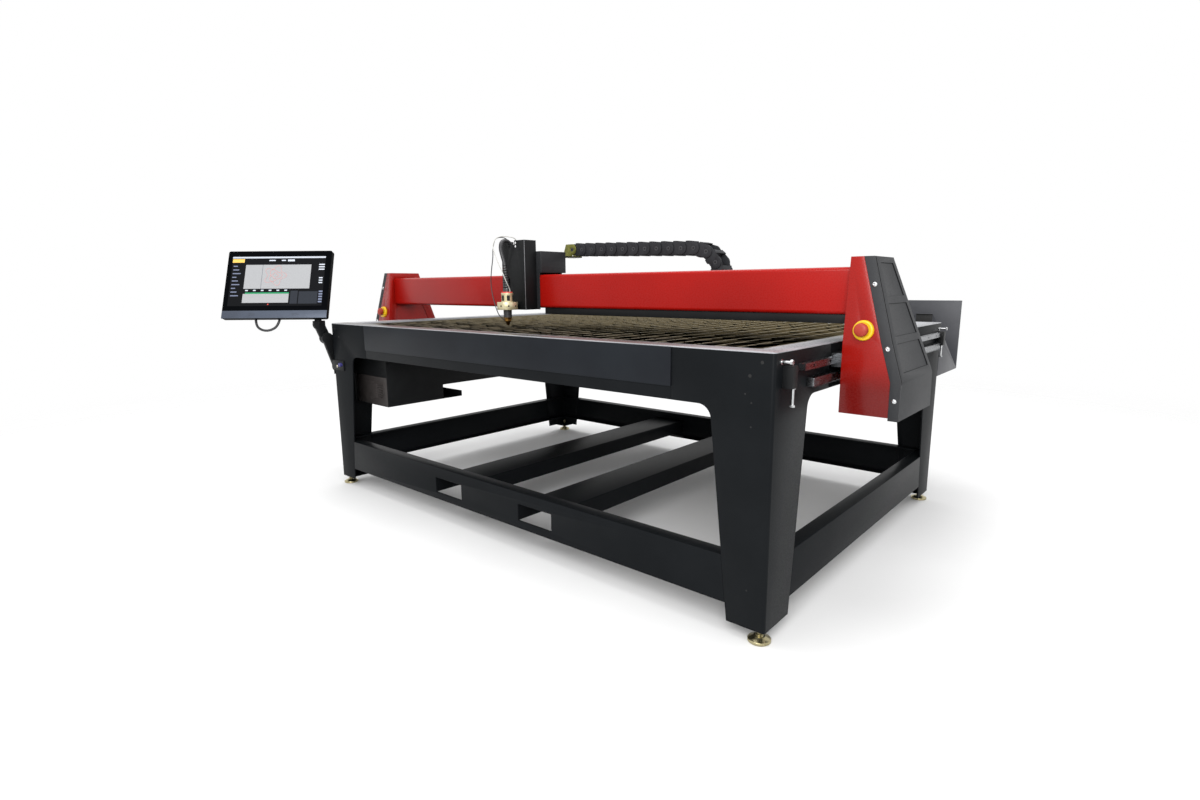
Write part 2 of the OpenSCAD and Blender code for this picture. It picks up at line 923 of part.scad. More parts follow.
// The tilt hinge's middle in the table's frame
mon_back = [-sin(mon_yaw) * cos(mon_tilt), cos(mon_yaw) * cos(mon_tilt), -sin(mon_tilt)];
mon_top = [-sin(mon_yaw) * sin(mon_tilt), cos(mon_yaw) * sin(mon_tilt), cos(mon_tilt)];
hinge_c = mon_c + tilt_off * mon_back;
bar_c = hinge_c - bar_drop * mon_top;

module monitor_mount() {
    c = p3 + [0, 0, knuckle_h / 2];
    color(black) difference() {
        union() {
            translate(p3 + [0, 0, run]) cylinder(h = knuckle_h, d = knuckle_d);
            rod(c, bar_c, bar_d);
            translate(bar_c) sphere(d = bar_d * bar_joint_share);
            rod(bar_c, hinge_c, bar_d);
            in_monitor() translate([-tilt_w / 2, tilt_off, 0]) rotate([0, 90, 0])
                cylinder(h = tilt_w, d = tilt_d);
            in_monitor() translate([-tilt_w / 2 - lug_t - lug_gap, tilt_off, 0]) rotate([0, 90, 0])
                cylinder(h = tilt_w + 2 * (lug_t + lug_gap), d = tilt_pin);
        }
        translate(p3 - [0, 0, over]) cylinder(h = knuckle_h + 2 * over, d = arm_pin + 2 * run);
    }
}

module monitor_shell() {
    lug_x = tilt_w / 2 + lug_gap;
    color(black) in_monitor() difference() {
        union() {
            along_y(0, mon_t) round_box(mon_w, mon_h, mon_r);
            slab([-hump_w / 2, 0, -hump_h / 2 - hump_down],
                [hump_w / 2, mon_t + hump_t, hump_h / 2 - hump_down]);
            slab([-vesa_s / 2, 0, -vesa_s / 2], [vesa_s / 2, mon_t + hump_t + vesa_t, vesa_s / 2]);
            for (s = [-1, 1]) translate([s > 0 ? lug_x : -lug_x - lug_t, 0, 0]) {
                slab([0, 0, -tilt_d / 2], [lug_t, tilt_off, tilt_d / 2]);
                translate([0, tilt_off, 0]) rotate([0, 90, 0]) cylinder(h = lug_t, d = tilt_d);
            }
        }
        slab([bezel - mon_w / 2, -over, chin_h - mon_h / 2],
            [mon_w / 2 - bezel, glass_t, mon_h / 2 - bezel]);
        translate([-lug_x - lug_t - over, tilt_off, 0]) rotate([0, 90, 0])
            cylinder(h = 2 * (lug_x + lug_t + over), d = tilt_pin + 2 * run);
    }
}

module monitor_screen() {
    color("#0b0d12") in_monitor()
        slab([bezel + slip - mon_w / 2, 0, chin_h + slip - mon_h / 2],
            [mon_w / 2 - bezel - slip, glass_t, mon_h / 2 - bezel - slip]);
}

module monitor_cable() {
    color(black) in_monitor() sweep(cable_pts, [for (p = cable_pts) cable_d / 2], cable_fn);
}

// Side outline of an end housing, drawn in by i, y from the bridge's front
function house_side(i, z0) = [[i, z0], [i, lean_z], [house_lean + i, house_z1 - i],
    [house_lean + house_top_d - i, house_z1 - i], [rear_knee_d - i, rear_knee_z],
    [house_base_d - i, z0]];
function seam_x(z) = z < kink_z ? house_base_w
    : house_base_w + (house_top_w - house_base_w) * (z - kink_z) / (house_z1 - kink_z);
function front_y(z) = z < lean_z ? 0 : house_lean * (z - lean_z) / (house_z1 - lean_z);
function rear_y(z) = rear_knee_d
    + (house_lean + house_top_d - rear_knee_d) * (z - rear_knee_z) / (house_z1 - rear_knee_z);
lean_a = atan(house_lean / (house_z1 - lean_z));
pin_z = rack_z - pinion_r - fit;

module at_house() {
    translate([gx, gy, 0]) children();
}

module end_housing() {
    recess_z = top_h + recess_up;
    at_house() difference() {
        intersection() {
            along_x(0, house_base_w) polygon(house_side(0, house_z0));
            along_y(-over, house_base_d + over)
                polygon([[0, house_z0], [house_base_w, house_z0], [house_base_w, kink_z],
                    [house_top_w, house_z1], [0, house_z1]]);
        }
        along_x(house_t + frame_proud, house_base_w + over)
            polygon(house_side(house_t, house_z0 - over));
        along_x(-over, frame_proud) intersection() {
            polygon(house_side(frame_band, house_z0));
            translate([0, recess_z]) square([house_base_d, house_up]);
        }
        along_x(-over, frame_proud) translate([beam_y + beam_d / 2, beam_z + beam_h / 2])
            round_box(beam_d + 2 * fit, beam_h + 2 * fit, beam_r + fit);
        translate([-over, drive_y, pin_z]) rotate([0, 90, 0])
            cylinder(h = house_t + frame_proud + 2 * over, d = shaft_hole);
        at_stop() translate([0, 0, -house_t - over])
            cylinder(h = house_t + 2 * over, d = stem_d + 2 * slip);
    }
}

// Moulded cover: hollow shell outside the seam with three sunk panels
slope_a = atan((house_base_w - house_top_w) / (house_z1 - kink_z));
slope_l = (house_z1 - kink_z) / cos(slope_a);
module on_slope() {
    translate([house_base_w + cover_t, 0, kink_z]) rotate([0, -slope_a, 0])
        rotate([90, 0, 90]) children();
}
function slope_z(s) = kink_z + s * (house_z1 - kink_z);
function panel(a, b) = [[front_y(slope_z(a)) + panel_front, a * slope_l],
    [rear_y(slope_z(a)) - panel_rim, a * slope_l], [rear_y(slope_z(b)) - panel_rim, b * slope_l],
    [front_y(slope_z(b)) + panel_front, b * slope_l]];
function groove(y) = [[y, -over], [y + groove_w, -over], [y + groove_w, (lean_z - kink_z) / cos(slope_a)],
    [house_lean + y + groove_w, slope_l + over], [house_lean + y, slope_l + over],
    [y, (lean_z - kink_z) / cos(slope_a)]];

module end_cover() {
    z0 = house_z0 - cover_drop;
    ct = cover_t;
    cw = cover_t - cover_wall;
    bw = house_base_w;
    tw = house_top_w;
    at_house() difference() {
        intersection() {
            along_x(0, bw + ct) polygon(house_side(0, z0));
            along_y(-over, house_base_d + over)
                polygon([[bw, z0], [bw + ct, z0], [bw + ct, kink_z], [tw + ct, house_z1],
                    [tw, house_z1], [bw, kink_z]]);
        }
        intersection() {
            along_x(0, bw + ct) polygon(house_side(cover_wall, z0 - over));
            along_y(-over, house_base_d + over)
                polygon([[0, z0 - over], [bw + cw, z0 - over], [bw + cw, kink_z],
                    [tw + cw, house_z1], [0, house_z1]]);
        }
        for (s = panel_shares) on_slope() translate([0, 0, -panel_deep])
            linear_extrude(panel_deep + over) polygon(panel(s[0], s[1]));
        on_slope() translate([0, 0, -panel_deep])
            linear_extrude(panel_deep + over) polygon(groove(groove_in));
    }
}

module end_housing_right() {
    color(red) end_housing();
}

module end_housing_left() {
    color(red) mirror([1, 0, 0]) end_housing();
}

module end_cover_right() {
    color(cover_grey) end_cover();
}

module end_cover_left() {
    color(cover_grey) mirror([1, 0, 0]) end_cover();
}

module button_screw() {
    difference() {
        cylinder(h = screw_h, d1 = screw_d, d2 = screw_d * screw_top_share);
        translate([0, 0, screw_h / 2]) cylinder(h = screw_h, d = screw_hex, $fn = 6);
    }
}

module cover_screws() {
    color(zinc) left_and_right() at_house() for (s = screw_rise_shares) {
        z = house_z0 + s * (house_z1 - house_z0);
        x = seam_x(z) + cover_t / 2;
        translate([x, front_y(z), z]) rotate([90 - (z < lean_z ? 0 : lean_a), 0, 0]) button_screw();
    }
}

module estop_rings() {
    color(yellow) left_and_right() at_stop_in_frame() difference() {
        cylinder(h = ring_h, d1 = ring_d, d2 = ring_d * ring_top_share);
        translate([0, 0, -over]) cylinder(h = ring_h + 2 * over, d = stem_d + 2 * run);
    }
}

// Middle of a stop button on the housing's front, +Z out of the plate
module at_stop() {
    translate([stop_x, front_y(top_h + stop_up), top_h + stop_up])
        rotate([90 - lean_a, 0, 0]) children();
}

module at_stop_in_frame() {
    at_house() at_stop() children();
}

module stop_button() {
    at_stop_in_frame() {
        translate([0, 0, -stem_in]) cylinder(h = stem_in + ring_h + stem_gap, d = stem_d);
        translate([0, 0, ring_h + stem_gap]) cylinder(h = head_h, d = head_dia);
        translate([0, 0, ring_h + stem_gap + head_h]) cylinder(h = dome_h, d1 = head_dia, d2 = dome_d);
    }
}

module estop_right() {
    color("#d8564a") stop_button();
}

module estop_left() {
    color("#d8564a") mirror([1, 0, 0]) stop_button();
}

module gantry_beam() {
    x = gx + frame_proud;
    mid = [0, gy + beam_y + beam_d / 2, beam_z + beam_h / 2];
    color(red) translate(mid) along_x(-x, x) difference() {
        round_box(beam_d, beam_h, beam_r);
        round_box(beam_d - 2 * beam_t, beam_h - 2 * beam_t, beam_r - beam_t);
    }
}

// Folded tray that hangs under the beam and carries the lower chain run
module chain_tray() {
    x0 = bend_x - chain_low_n * chain_p - ctray_start;
    y0 = gy + beam_y + beam_r;
    y1 = gy + chain_y + chain_w / 2 + ctray_back;
    t = ctray_t;
    color(black) along_x(x0, gx - ctray_in)
        polygon([[y0, ctray_z], [y1, ctray_z], [y1, ctray_z + ctray_lip],
            [y1 - t, ctray_z + ctray_lip], [y1 - t, ctray_z + t], [y0 + t, ctray_z + t],
            [y0 + t, beam_z - t], [y0 + ctray_hang, beam_z - t], [y0 + ctray_hang, beam_z],
            [y0, beam_z]]);
}

module guide_trucks() {
    z0 = guide_z;
    z1 = guide_z + guide_s;
    color(steel) left_and_right() for (y = [gy + truck_front, gy + truck_rear]) difference() {
        slab([hw + truck_in, y, z0 - truck_z], [gx, y + truck_l, z1 + truck_z]);
        slab([hw - over, y - over, z0 - fit], [hw + guide_s + fit, y + truck_l + over, z1 + fit]);
    }
}

module gear_plan(r, n, h) {
    polygon([for (i = [0:n - 1], k = [0:3])
        let (a = 360 * (i + tooth_shares[k]) / n, q = k == 1 || k == 2 ? r : r - h)
        q * [cos(a), sin(a)]]);
}

module y_pinions() {
    x0 = hw + (rack_t - pinion_w) / 2;
    x1 = gx + house_t + frame_proud;
    color(steel) left_and_right() translate([0, gy + drive_y, pin_z]) rotate([0, 90, 0]) {
        translate([0, 0, x0]) linear_extrude(pinion_w) gear_plan(pinion_r, pinion_n, tooth_h);
        translate([0, 0, x0]) cylinder(h = x1 + gear_l / 2 - x0, d = shaft_d);
    }
}

module y_drives() {
    x1 = gx + house_t + frame_proud;
    place = [x1, gy + drive_y, pin_z];
    color(black) left_and_right() translate(place) rotate([0, 90, 0]) difference() {
        union() {
            linear_extrude(gear_l) round_box(gear_s, gear_s, motor_r);
            translate([0, 0, gear_l]) linear_extrude(motor_l) round_box(motor_s, motor_s, motor_r);
        }
        translate([0, 0, -over]) cylinder(h = gear_l / 2 + over + slip, d = shaft_d + 2 * run);
    }
}

// Cross rails and rack behind the beam
xrail_y = gy + beam_y + beam_d;
xrail_zs = [beam_z + xrail_in, beam_z + beam_h - xrail_in];
xrack_z = beam_z + xrack_up;
module x_rails() {
    x = gx - ctray_in;
    color(steel) {
        for (z = xrail_zs)
            slab([-x, xrail_y, z - xrail_s / 2], [x, xrail_y + xrail_s, z + xrail_s / 2]);
        slab([-x, xrail_y, xrack_z], [x, xrail_y + xrail_s, xrack_z + xrack_h]);
    }
}

module at_carriage() {
    translate([torch_x, gy, 0]) children();
}

carr_x = lift_w / 2 - lift_left;
saddle_z = beam_z + beam_h + saddle_gap;
module carriage_plate() {
    rail_y = xrail_y - gy;
    slot = xrail_s / 2 + fit;
    color(black) at_carriage() difference() {
        union() {
            slab([carr_x - plate_w / 2, plate_y, beam_z - plate_down],
                [carr_x + plate_w / 2, plate_y + plate_t, saddle_z + saddle_h]);
            for (z = xrail_zs, s = [-1, 1]) translate([carr_x + s * xtruck_x, 0, z])
                slab([-xtruck_l / 2, rail_y + xrail_s / 3, -xtruck_h / 2],
                    [xtruck_l / 2, plate_y, xtruck_h / 2]);
        }
        for (z = xrail_zs)
            slab([carr_x - plate_w, -over, z - slot],
                [carr_x + plate_w, rail_y + xrail_s + fit, z + slot]);
        translate([carr_x, plate_y - over, xpin_z]) rotate([-90, 0, 0])
            cylinder(h = plate_t + 2 * over, d = shaft_hole);
    }
}

xpin_z = xrack_z - xpin_r - fit;
module x_pinion() {
    y0 = xrail_y - gy + (xrail_s - xpin_w) / 2;
    color(steel) at_carriage() translate([carr_x, y0, xpin_z]) rotate([-90, 0, 0]) {
        linear_extrude(xpin_w) gear_plan(xpin_r, pinion_n, xtooth_h);
        cylinder(h = plate_y + plate_t + xmotor_l / 2 - y0, d = xshaft_d);
    }
}

module x_drive() {
    place = [carr_x, plate_y + plate_t, xpin_z];
    color(black) at_carriage() translate(place) rotate([-90, 0, 0]) difference() {
        linear_extrude(xmotor_l) round_box(xmotor_s, xmotor_s, motor_r);
        translate([0, 0, -over]) cylinder(h = xmotor_l / 2 + over + slip, d = xshaft_d + 2 * run);
    }
}

module saddle_box() {
    t = saddle_t;
    lo = [-lift_left, lift_d - lift_front, saddle_z];
    hi = [lift_w - lift_left + saddle_out, plate_y, saddle_z + saddle_h];
    color(black) at_carriage() {
        difference() {
            slab(lo, hi);
            slab(lo + [t, t, t], hi - [t, -over, t]);
        }
        slab([lo[0], lo[1], lift_z], [lift_w - lift_left + saddle_lip, lo[1] + t, saddle_z]);
    }
}

lift_z = top_h + lift_up;
module lifter_housing() {
    t = lift_t;
    lo = [-lift_left, -lift_front, lift_z];
    hi = [lift_w - lift_left, lift_d - lift_front, lift_z + lift_h];
    color(black) at_carriage() difference() {
        slab(lo, hi);
        slab([lo[0] + t, lo[1] + t, lo[2] - over], [hi[0] - t, hi[1] - t, hi[2] + over]);
        slab([lo[0] + t, hi[1] - t - over, saddle_z + saddle_h], [hi[0] - t, hi[1] + over, hi[2] + over]);
        translate([slot_x, lo[1], lo[2]])
            slab([-slot_w / 2, -over, -over], [slot_w / 2, t + over, slot_h]);
        translate([lo[0] + notch_x, lo[1], hi[2]])
            slab([0, -over, -notch_h], [notch_w, t + over, over]);
        for (q = hole_places) translate([lo[0] + q[0], lo[1] - over, hi[2] - q[1]])
            rotate([-90, 0, 0]) cylinder(h = t + 2 * over, d = hole_d);
    }
}

// Lift axis inside the housing: rail on the back wall, screw and motor
lift_back = lift_d - lift_front - lift_t;
module z_drive() {
    z1 = lift_z + lift_h - zmotor_top;
    z0 = lift_z + slot_down;
    zm = z1 - zmotor_l;
    color(steel) at_carriage() translate([slot_x, 0, 0]) {
        slab([-zrail_w / 2, lift_back - zrail_t, z0], [zrail_w / 2, lift_back, zm]);
        slab([-zmotor_s / 2, lift_back - zmotor_s, zm], [zmotor_s / 2, lift_back, z1]);
    }
}

module chain_link() {
    w = chain_w / 2;
    inn = w - link_t - link_gap;
    mid = chain_p / 2;
    e = link_end;
    for (s = [0, 1]) mirror([0, s, 0]) {
        along_y(inn - link_t, inn) union() {
            circle(e);
            translate([0, -e]) square([mid, 2 * e]);
        }
        along_y(w - link_t, w) difference() {
            union() {
                translate([chain_p, 0]) circle(e);
                translate([mid, -e]) square([mid, 2 * e]);
            }
            translate([chain_p, 0]) circle(d = link_stud + 2 * link_gap);
        }
        slab([mid - link_web, inn - link_t, -chain_h / 2], [mid + link_lap, inn, chain_h / 2]);
        slab([mid - link_lap, inn, -chain_h / 2], [mid + link_lap, w - link_t, chain_h / 2]);
        slab([mid - link_lap, w - link_t, -chain_h / 2], [mid + link_web, w, chain_h / 2]);
        along_y(inn, w + link_gap) circle(d = link_stud);
    }
    for (z = [-chain_h / 2, chain_h / 2 - link_bar_t])
        slab([mid - link_bar, -inn, z], [mid + link_bar, inn, z + link_bar_t]);
}

module chain_upper() {
    color(cover_grey) for (i = [0:chain_up_n - 1])
        translate([chain_x + i * chain_p * cos(up_a), gy + chain_y, chain_start - i * chain_p * sin(up_a)])
            rotate([0, up_a, 0]) chain_link();
}

bend_turn = 180 / chain_bend_n;
function bend_pin(k) = k == 0 ? [bend_x, chain_top]
    : bend_pin(k - 1) + chain_p * [cos((k - 0.5) * bend_turn), -sin((k - 0.5) * bend_turn)];
module chain_bend() {
    color(cover_grey) for (k = [0:chain_bend_n - 1])
        translate([bend_pin(k)[0], gy + chain_y, bend_pin(k)[1]])
            rotate([0, (k + 0.5) * bend_turn, 0]) chain_link();
}

module chain_lower() {
    color(cover_grey) for (i = [0:chain_low_n - 1])
        translate([bend_x - i * chain_p, gy + chain_y, chain_low]) rotate([0, 180, 0]) chain_link();
}

// Zinc-plated end bracket of the chain on the carriage plate
module chain_bracket() {
    w = chain_w / 2;
    x0 = chain_x - torch_x - chain_p;
    x1 = chain_x - torch_x;
    zf = chain_start - chain_h / 2;
    y0 = plate_y + plate_t;
    color(olive) at_carriage() {
        slab([x0, y0, zf - saddle_h / 2], [carr_x + plate_w / 2, y0 + sheet_t, zf]);
        slab([x0, y0, zf - sheet_t], [carr_x + plate_w / 2, chain_y + w, zf]);
        for (s = [-1, 1]) translate([0, chain_y + (s > 0 ? w - link_t : -w), 0]) along_y(0, link_t)
            translate([0, chain_start]) difference() {
                union() {
                    translate([x1, 0]) circle(link_end);
                    polygon([[x0, -chain_h / 2], [x1, -chain_h / 2], [x1, link_end],
                        [x0 + chain_p * cheek_share, link_end]]);
                }
                translate([x1, 0]) circle(d = link_stud + 2 * link_gap);
            }
    }
}

// Torch in its holder
tip_z = top_h + tip_up;
holder_z = top_h + holder_up;
module at_torch() {
    translate([torch_x, gy + torch_y, 0]) children();
}

module at_torch_top() {
    at_torch() translate([0, 0, holder_z + flange_h + collar_h]) children();
}

module torch_holder() {
    rail_y = lift_back - zrail_t - slip;
    y0 = torch_y + hold_back;
    color(cream) difference() {
        union() {
            at_torch() translate([0, 0, holder_z]) cylinder(h = flange_h, d = holder_d);
            at_carriage() translate([0, 0, holder_z]) {
                slab([slot_x - arm_width / 2, y0, 0], [slot_x + arm_width / 2, rail_y, arm_height]);
                slab([slot_x - arm_width / 2, y0, 0], [0, y0 + arm_width, arm_height]);
                translate([slot_x, rail_y, 0])
                    slab([-slide_w / 2, slip - slide_t, 0], [slide_w / 2, 0, slide_h]);
            }
        }
        at_torch() translate([0, 0, holder_z - over])
            cylinder(h = flange_h + 2 * over, d = torch_d + 2 * run);
    }
}

module torch_body() {
    z1 = holder_z + flange_h;
    color(cream) at_torch() {
        translate([0, 0, tip_z + nozzle_h]) cylinder(h = z1 - tip_z - nozzle_h, d = torch_d);
        translate([0, 0, z1]) cylinder(h = collar_h - ring_red_h, d = collar_d);
        translate([0, 0, z1 + collar_h - ring_red_h])
            cylinder(h = ring_red_h, d = collar_d * ring_red_share);
    }
}

module torch_nozzle() {
    h = nozzle_h;
    up = nozzle_h * sleeve_rise_shares;
    tip = [for (s = nozzle_shares) [tip_d * s[0], nozzle_h * s[1]]];
    color(brass) at_torch() translate([0, 0, tip_z]) rotate_extrude()
        polygon(concat([[0, 0]], tip, [[cap_d / 2, up[0]], [cap_d / 2, up[1]], [torch_d / 2, up[2]],
            [torch_d / 2, h], [0, h]]));
}

// Boot radius swells and shrinks along its ribs, then the plain lead follows
function mix(a, b, t) = a + (b - a) * t;
module torch_lead() {
    ribs = 2 * boot_n;
    boot = [for (i = [0:ribs]) mix(lead_pts[1], lead_pts[2], i / ribs)];
    boot_r = [for (i = [0:ribs])
        mix(boot_d, lead_d + boot_rib, i / ribs) / 2 - (i % 2) * boot_rib / 2];
    rest = [for (i = [3:len(lead_pts) - 1]) lead_pts[i]];
    path = concat([lead_pts[0]], boot, rest);
    radii = concat([boot_r[0]], boot_r, [for (p = rest) lead_d / 2]);
    color(black) at_torch_top() sweep(path, radii, cable_fn);
}

module sensor_wire() {
    color("#dedede") at_torch_top() sweep(wire_pts, [for (p = wire_pts) wire_d / 2], wire_fn);
}

module ohmic_wire() {
    color(black) at_torch_top() sweep(ohmic_pts, [for (p = ohmic_pts) wire_d / 2], wire_fn);
}

front_legs();
rear_legs();
long_rails();
side_rails();
front_apron();
top_rim();
lower_long();
lower_sides();
fork_channels();
slat_combs();
slats();
drain_pan();
guide_rails();
gear_racks();
hard_stops();
frame_bolts();
rear_tray();
control_box();
control_shelf();
arm_bracket();
foot_front_left();
foot_front_right();
foot_rear_left();
foot_rear_right();
arm_lower();
arm_upper();
monitor_mount();
monitor_shell();
monitor_screen();
monitor_cable();
gantry_beam();
chain_tray();
end_housing_left();
end_housing_right();
end_cover_left();
end_cover_right();
cover_screws();
y_drives();
y_pinions();
guide_trucks();
estop_rings();
estop_left();
estop_right();
x_rails();
chain_lower();
carriage_plate();
saddle_box();
lifter_housing();
x_drive();
x_pinion();
z_drive();
chain_bracket();
chain_upper();
chain_bend();
torch_holder();
torch_body();
torch_nozzle();
torch_lead();
sensor_wire();
ohmic_wire();
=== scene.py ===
import bpy
import bmesh
import json
import math
import random
from mathutils import Matrix, Vector

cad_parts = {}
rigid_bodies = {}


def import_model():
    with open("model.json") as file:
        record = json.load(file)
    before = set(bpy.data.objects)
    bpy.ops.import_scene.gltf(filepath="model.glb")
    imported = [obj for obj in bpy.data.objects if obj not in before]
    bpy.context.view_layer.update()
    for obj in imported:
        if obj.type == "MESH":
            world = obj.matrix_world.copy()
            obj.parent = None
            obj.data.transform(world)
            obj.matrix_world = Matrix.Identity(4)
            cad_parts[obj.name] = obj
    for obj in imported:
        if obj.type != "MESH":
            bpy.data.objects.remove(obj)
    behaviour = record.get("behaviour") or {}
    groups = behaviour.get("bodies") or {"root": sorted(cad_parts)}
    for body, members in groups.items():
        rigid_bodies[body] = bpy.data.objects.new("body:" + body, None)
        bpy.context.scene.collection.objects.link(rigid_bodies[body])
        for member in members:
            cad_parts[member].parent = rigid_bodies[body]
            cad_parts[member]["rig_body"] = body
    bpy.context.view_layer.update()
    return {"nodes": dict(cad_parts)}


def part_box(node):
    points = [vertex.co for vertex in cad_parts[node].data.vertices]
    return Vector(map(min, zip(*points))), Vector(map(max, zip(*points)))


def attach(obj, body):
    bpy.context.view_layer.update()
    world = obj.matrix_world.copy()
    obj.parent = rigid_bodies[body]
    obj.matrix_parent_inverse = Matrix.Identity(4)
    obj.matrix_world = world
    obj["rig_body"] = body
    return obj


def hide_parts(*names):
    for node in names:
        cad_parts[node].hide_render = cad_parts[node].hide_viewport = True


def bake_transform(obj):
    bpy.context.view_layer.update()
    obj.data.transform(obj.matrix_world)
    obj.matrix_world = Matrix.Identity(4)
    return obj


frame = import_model()
nodes = frame["nodes"]
scene = bpy.context.scene
print("frame loaded:", len(nodes), "nodes")

# main lines of the table, metres
table = {"halfWidth": 1.22, "front": -0.845, "top": 0.845, "bridge": -0.489, "houseX": 1.261}


def toLinear(hexCode):
    parts = [int(hexCode[i:i + 2], 16) / 255 for i in (1, 3, 5)]
    return tuple(p / 12.92 if p <= 0.04045 else ((p + 0.055) / 1.055) ** 2.4 for p in parts) + (1.0,)


def addNode(tree, kind, links=None, inputs=None, **settings):
    node = tree.nodes.new(kind)
    for name, value in settings.items():
        setattr(node, name, value)
    for socket, value in (inputs or {}).items():
        node.inputs[socket].default_value = value
    for socket, source in (links or {}).items():
        tree.links.new(source, node.inputs[socket])
    return node


def perMetre(mm):
    return 1000.0 / mm  # noise scale that gives one feature every mm millimetres


def finish(name, base, second, rough, roughSpread=0.06, grainMm=2.0, grain=0.15, blotchMm=180.0,
           metallic=0.0, coat=0.0, coatRough=0.08, stretch=(1, 1, 1), blotchLow=0.4, blotchHigh=0.65,
           specular=0.5, glow=0.0):
    mat = bpy.data.materials.new(name)
    mat.use_nodes = True
    tree = mat.node_tree
    tree.nodes.clear()
    out = addNode(tree, "ShaderNodeOutputMaterial")
    shader = addNode(tree, "ShaderNodeBsdfPrincipled",
                     inputs={"Metallic": metallic, "Coat Weight": coat, "Coat Roughness": coatRough,
                             "Specular IOR Level": specular, "Emission Strength": glow})
    tree.links.new(shader.outputs["BSDF"], out.inputs["Surface"])
    place = addNode(tree, "ShaderNodeTexCoord")
    drawn = addNode(tree, "ShaderNodeMapping", links={"Vector": place.outputs["Object"]},
                    inputs={"Scale": stretch})
    blotch = addNode(tree, "ShaderNodeTexNoise", links={"Vector": place.outputs["Object"]},
                     inputs={"Scale": perMetre(blotchMm), "Detail": 4.0, "Roughness": 0.6})
    spread = addNode(tree, "ShaderNodeMapRange", links={"Value": blotch.outputs["Fac"]},
                     inputs={"From Min": blotchLow, "From Max": blotchHigh})
    tint = addNode(tree, "ShaderNodeMix", data_type="RGBA", links={0: spread.outputs["Result"]},
                   inputs={6: toLinear(base), 7: toLinear(second)})
    tree.links.new(tint.outputs[2], shader.inputs["Base Color"])
    tree.links.new(tint.outputs[2], shader.inputs["Emission Color"])
    fine = addNode(tree, "ShaderNodeTexNoise", links={"Vector": drawn.outputs["Vector"]},
                   inputs={"Scale": perMetre(grainMm), "Detail": 3.0, "Roughness": 0.55})
    polish = addNode(tree, "ShaderNodeMapRange", links={"Value": fine.outputs["Fac"]},
                     inputs={"From Min": 0.3, "From Max": 0.7, "To Min": max(0.02, rough - roughSpread),
                             "To Max": min(1.0, rough + roughSpread)})
    tree.links.new(polish.outputs["Result"], shader.inputs["Roughness"])
    relief = addNode(tree, "ShaderNodeBump", links={"Height": fine.outputs["Fac"]},
                     inputs={"Strength": grain, "Distance": grainMm * 0.0004})
    tree.links.new(relief.outputs["Normal"], shader.inputs["Normal"])
    return mat


# what a later layer of dirt, wear or painted shade builds on: tree, shader, coordinates and the colour so far
def layersOf(mat):
    tree = mat.node_tree
    shader = next(n for n in tree.nodes if n.type == "BSDF_PRINCIPLED")
    place = next(n for n in tree.nodes if n.type == "TEX_COORD")
    return tree, shader, place.outputs["Object"], shader.inputs["Base Color"].links[0].from_socket


# satin black powder coat on folded sheet: fine orange peel that breaks up reflections,
# cool where the light grazes it
powderBlack = finish("powderCoatBlack", "#101214", "#141618", 0.4, 0.06, 3.0, 0.1, 420, specular=0.05)
# apron's own batch of the coat, a shade lighter and bluer
apronCoat = finish("apronCoatBlack", "#17191d", "#1b1e22", 0.38, 0.06, 3.0, 0.1, 420, specular=0.08)
# the same coat on inner and under surfaces, a little duller from dust
powderDull = finish("powderCoatDull", "#131415", "#191a1b", 0.46, 0.08, 3.0, 0.12, 260, specular=0.15)
# bought-in control box: warmer grey black, painted lighter to make up for the shade it sits in under the
# table
boxCoatLit = finish("controlBoxCoatLit", "#363231", "#302d2c", 0.44, 0.06, 2.5, 0.12, 160, specular=0.2)
# lighter satin coat of the carriage's saddle
saddleCoat = finish("saddleCoat", "#242527", "#1f2022", 0.42, 0.06, 3.0, 0.1, 240, specular=0.25)
# pale grey enamel on the bed's rim, scuffed by plates
rimEnamel = finish("rimEnamelGrey", "#9c9da1", "#85878b", 0.3, 0.06, 6.0, 0.03, 220)


# front strip of the rim: brown film of cutting dust behind an edge that sliding plates keep bright
rimSoil = {"strip": (-0.752, -0.768), "edge": (-0.8425, -0.838), "corner": (1.14, 0.7), "share": (0.15, 0.9),
           "tone": "#3a3431"}


def soilRim(mat):
    tree, shader, place, bare = layersOf(mat)
    axes = addNode(tree, "ShaderNodeSeparateXYZ", links={"Vector": place})
    strip, edge = [addNode(tree, "ShaderNodeMapRange", links={"Value": axes.outputs["Y"]},
                           inputs={"From Min": rimSoil[key][0], "From Max": rimSoil[key][1]})
                   for key in ("strip", "edge")]
    corner = addNode(tree, "ShaderNodeMapRange", links={"Value": axes.outputs["X"]},
                     inputs={"From Min": rimSoil["corner"][0], "From Max": rimSoil["corner"][1],
                             "To Min": rimSoil["share"][0], "To Max": rimSoil["share"][1]})
    both = addNode(tree, "ShaderNodeMath", operation="MULTIPLY",
                   links={0: strip.outputs["Result"], 1: edge.outputs["Result"]})
    share = addNode(tree, "ShaderNodeMath", operation="MULTIPLY",
                    links={0: both.outputs[0], 1: corner.outputs["Result"]})
    film = addNode(tree, "ShaderNodeMix", data_type="RGBA", links={0: share.outputs[0], 6: bare},
                   inputs={7: toLinear(rimSoil["tone"])})
    tree.links.new(film.outputs[2], shader.inputs["Base Color"])


soilRim(rimEnamel)
# dark grey coat of the rear tray
trayCoat = finish("trayCoatGrey", "#3a3b3f", "#434448", 0.42, 0.06, 3.0, 0.1, 320, specular=0.3)
# gloss red powder coat under clear lacquer
glossRed = finish("glossRedCoat", "#96100a", "#8c0e08", 0.28, 0.04, 5.0, 0.03, 500, coat=0.06, coatRough=0.1,
                  specular=0.14)
housingRed = finish("glossRedHousing", "#8c120b", "#82100a", 0.28, 0.04, 5.0, 0.03, 400, coat=0.12,
                    coatRough=0.1, specular=0.2)


# painted shade: each red housing turns darker towards its foot, for the shade and dark reflection on its
# lower front
footShade = {"bare": 0.80, "full": 0.70, "share": 0.8, "tone": "#540a07"}


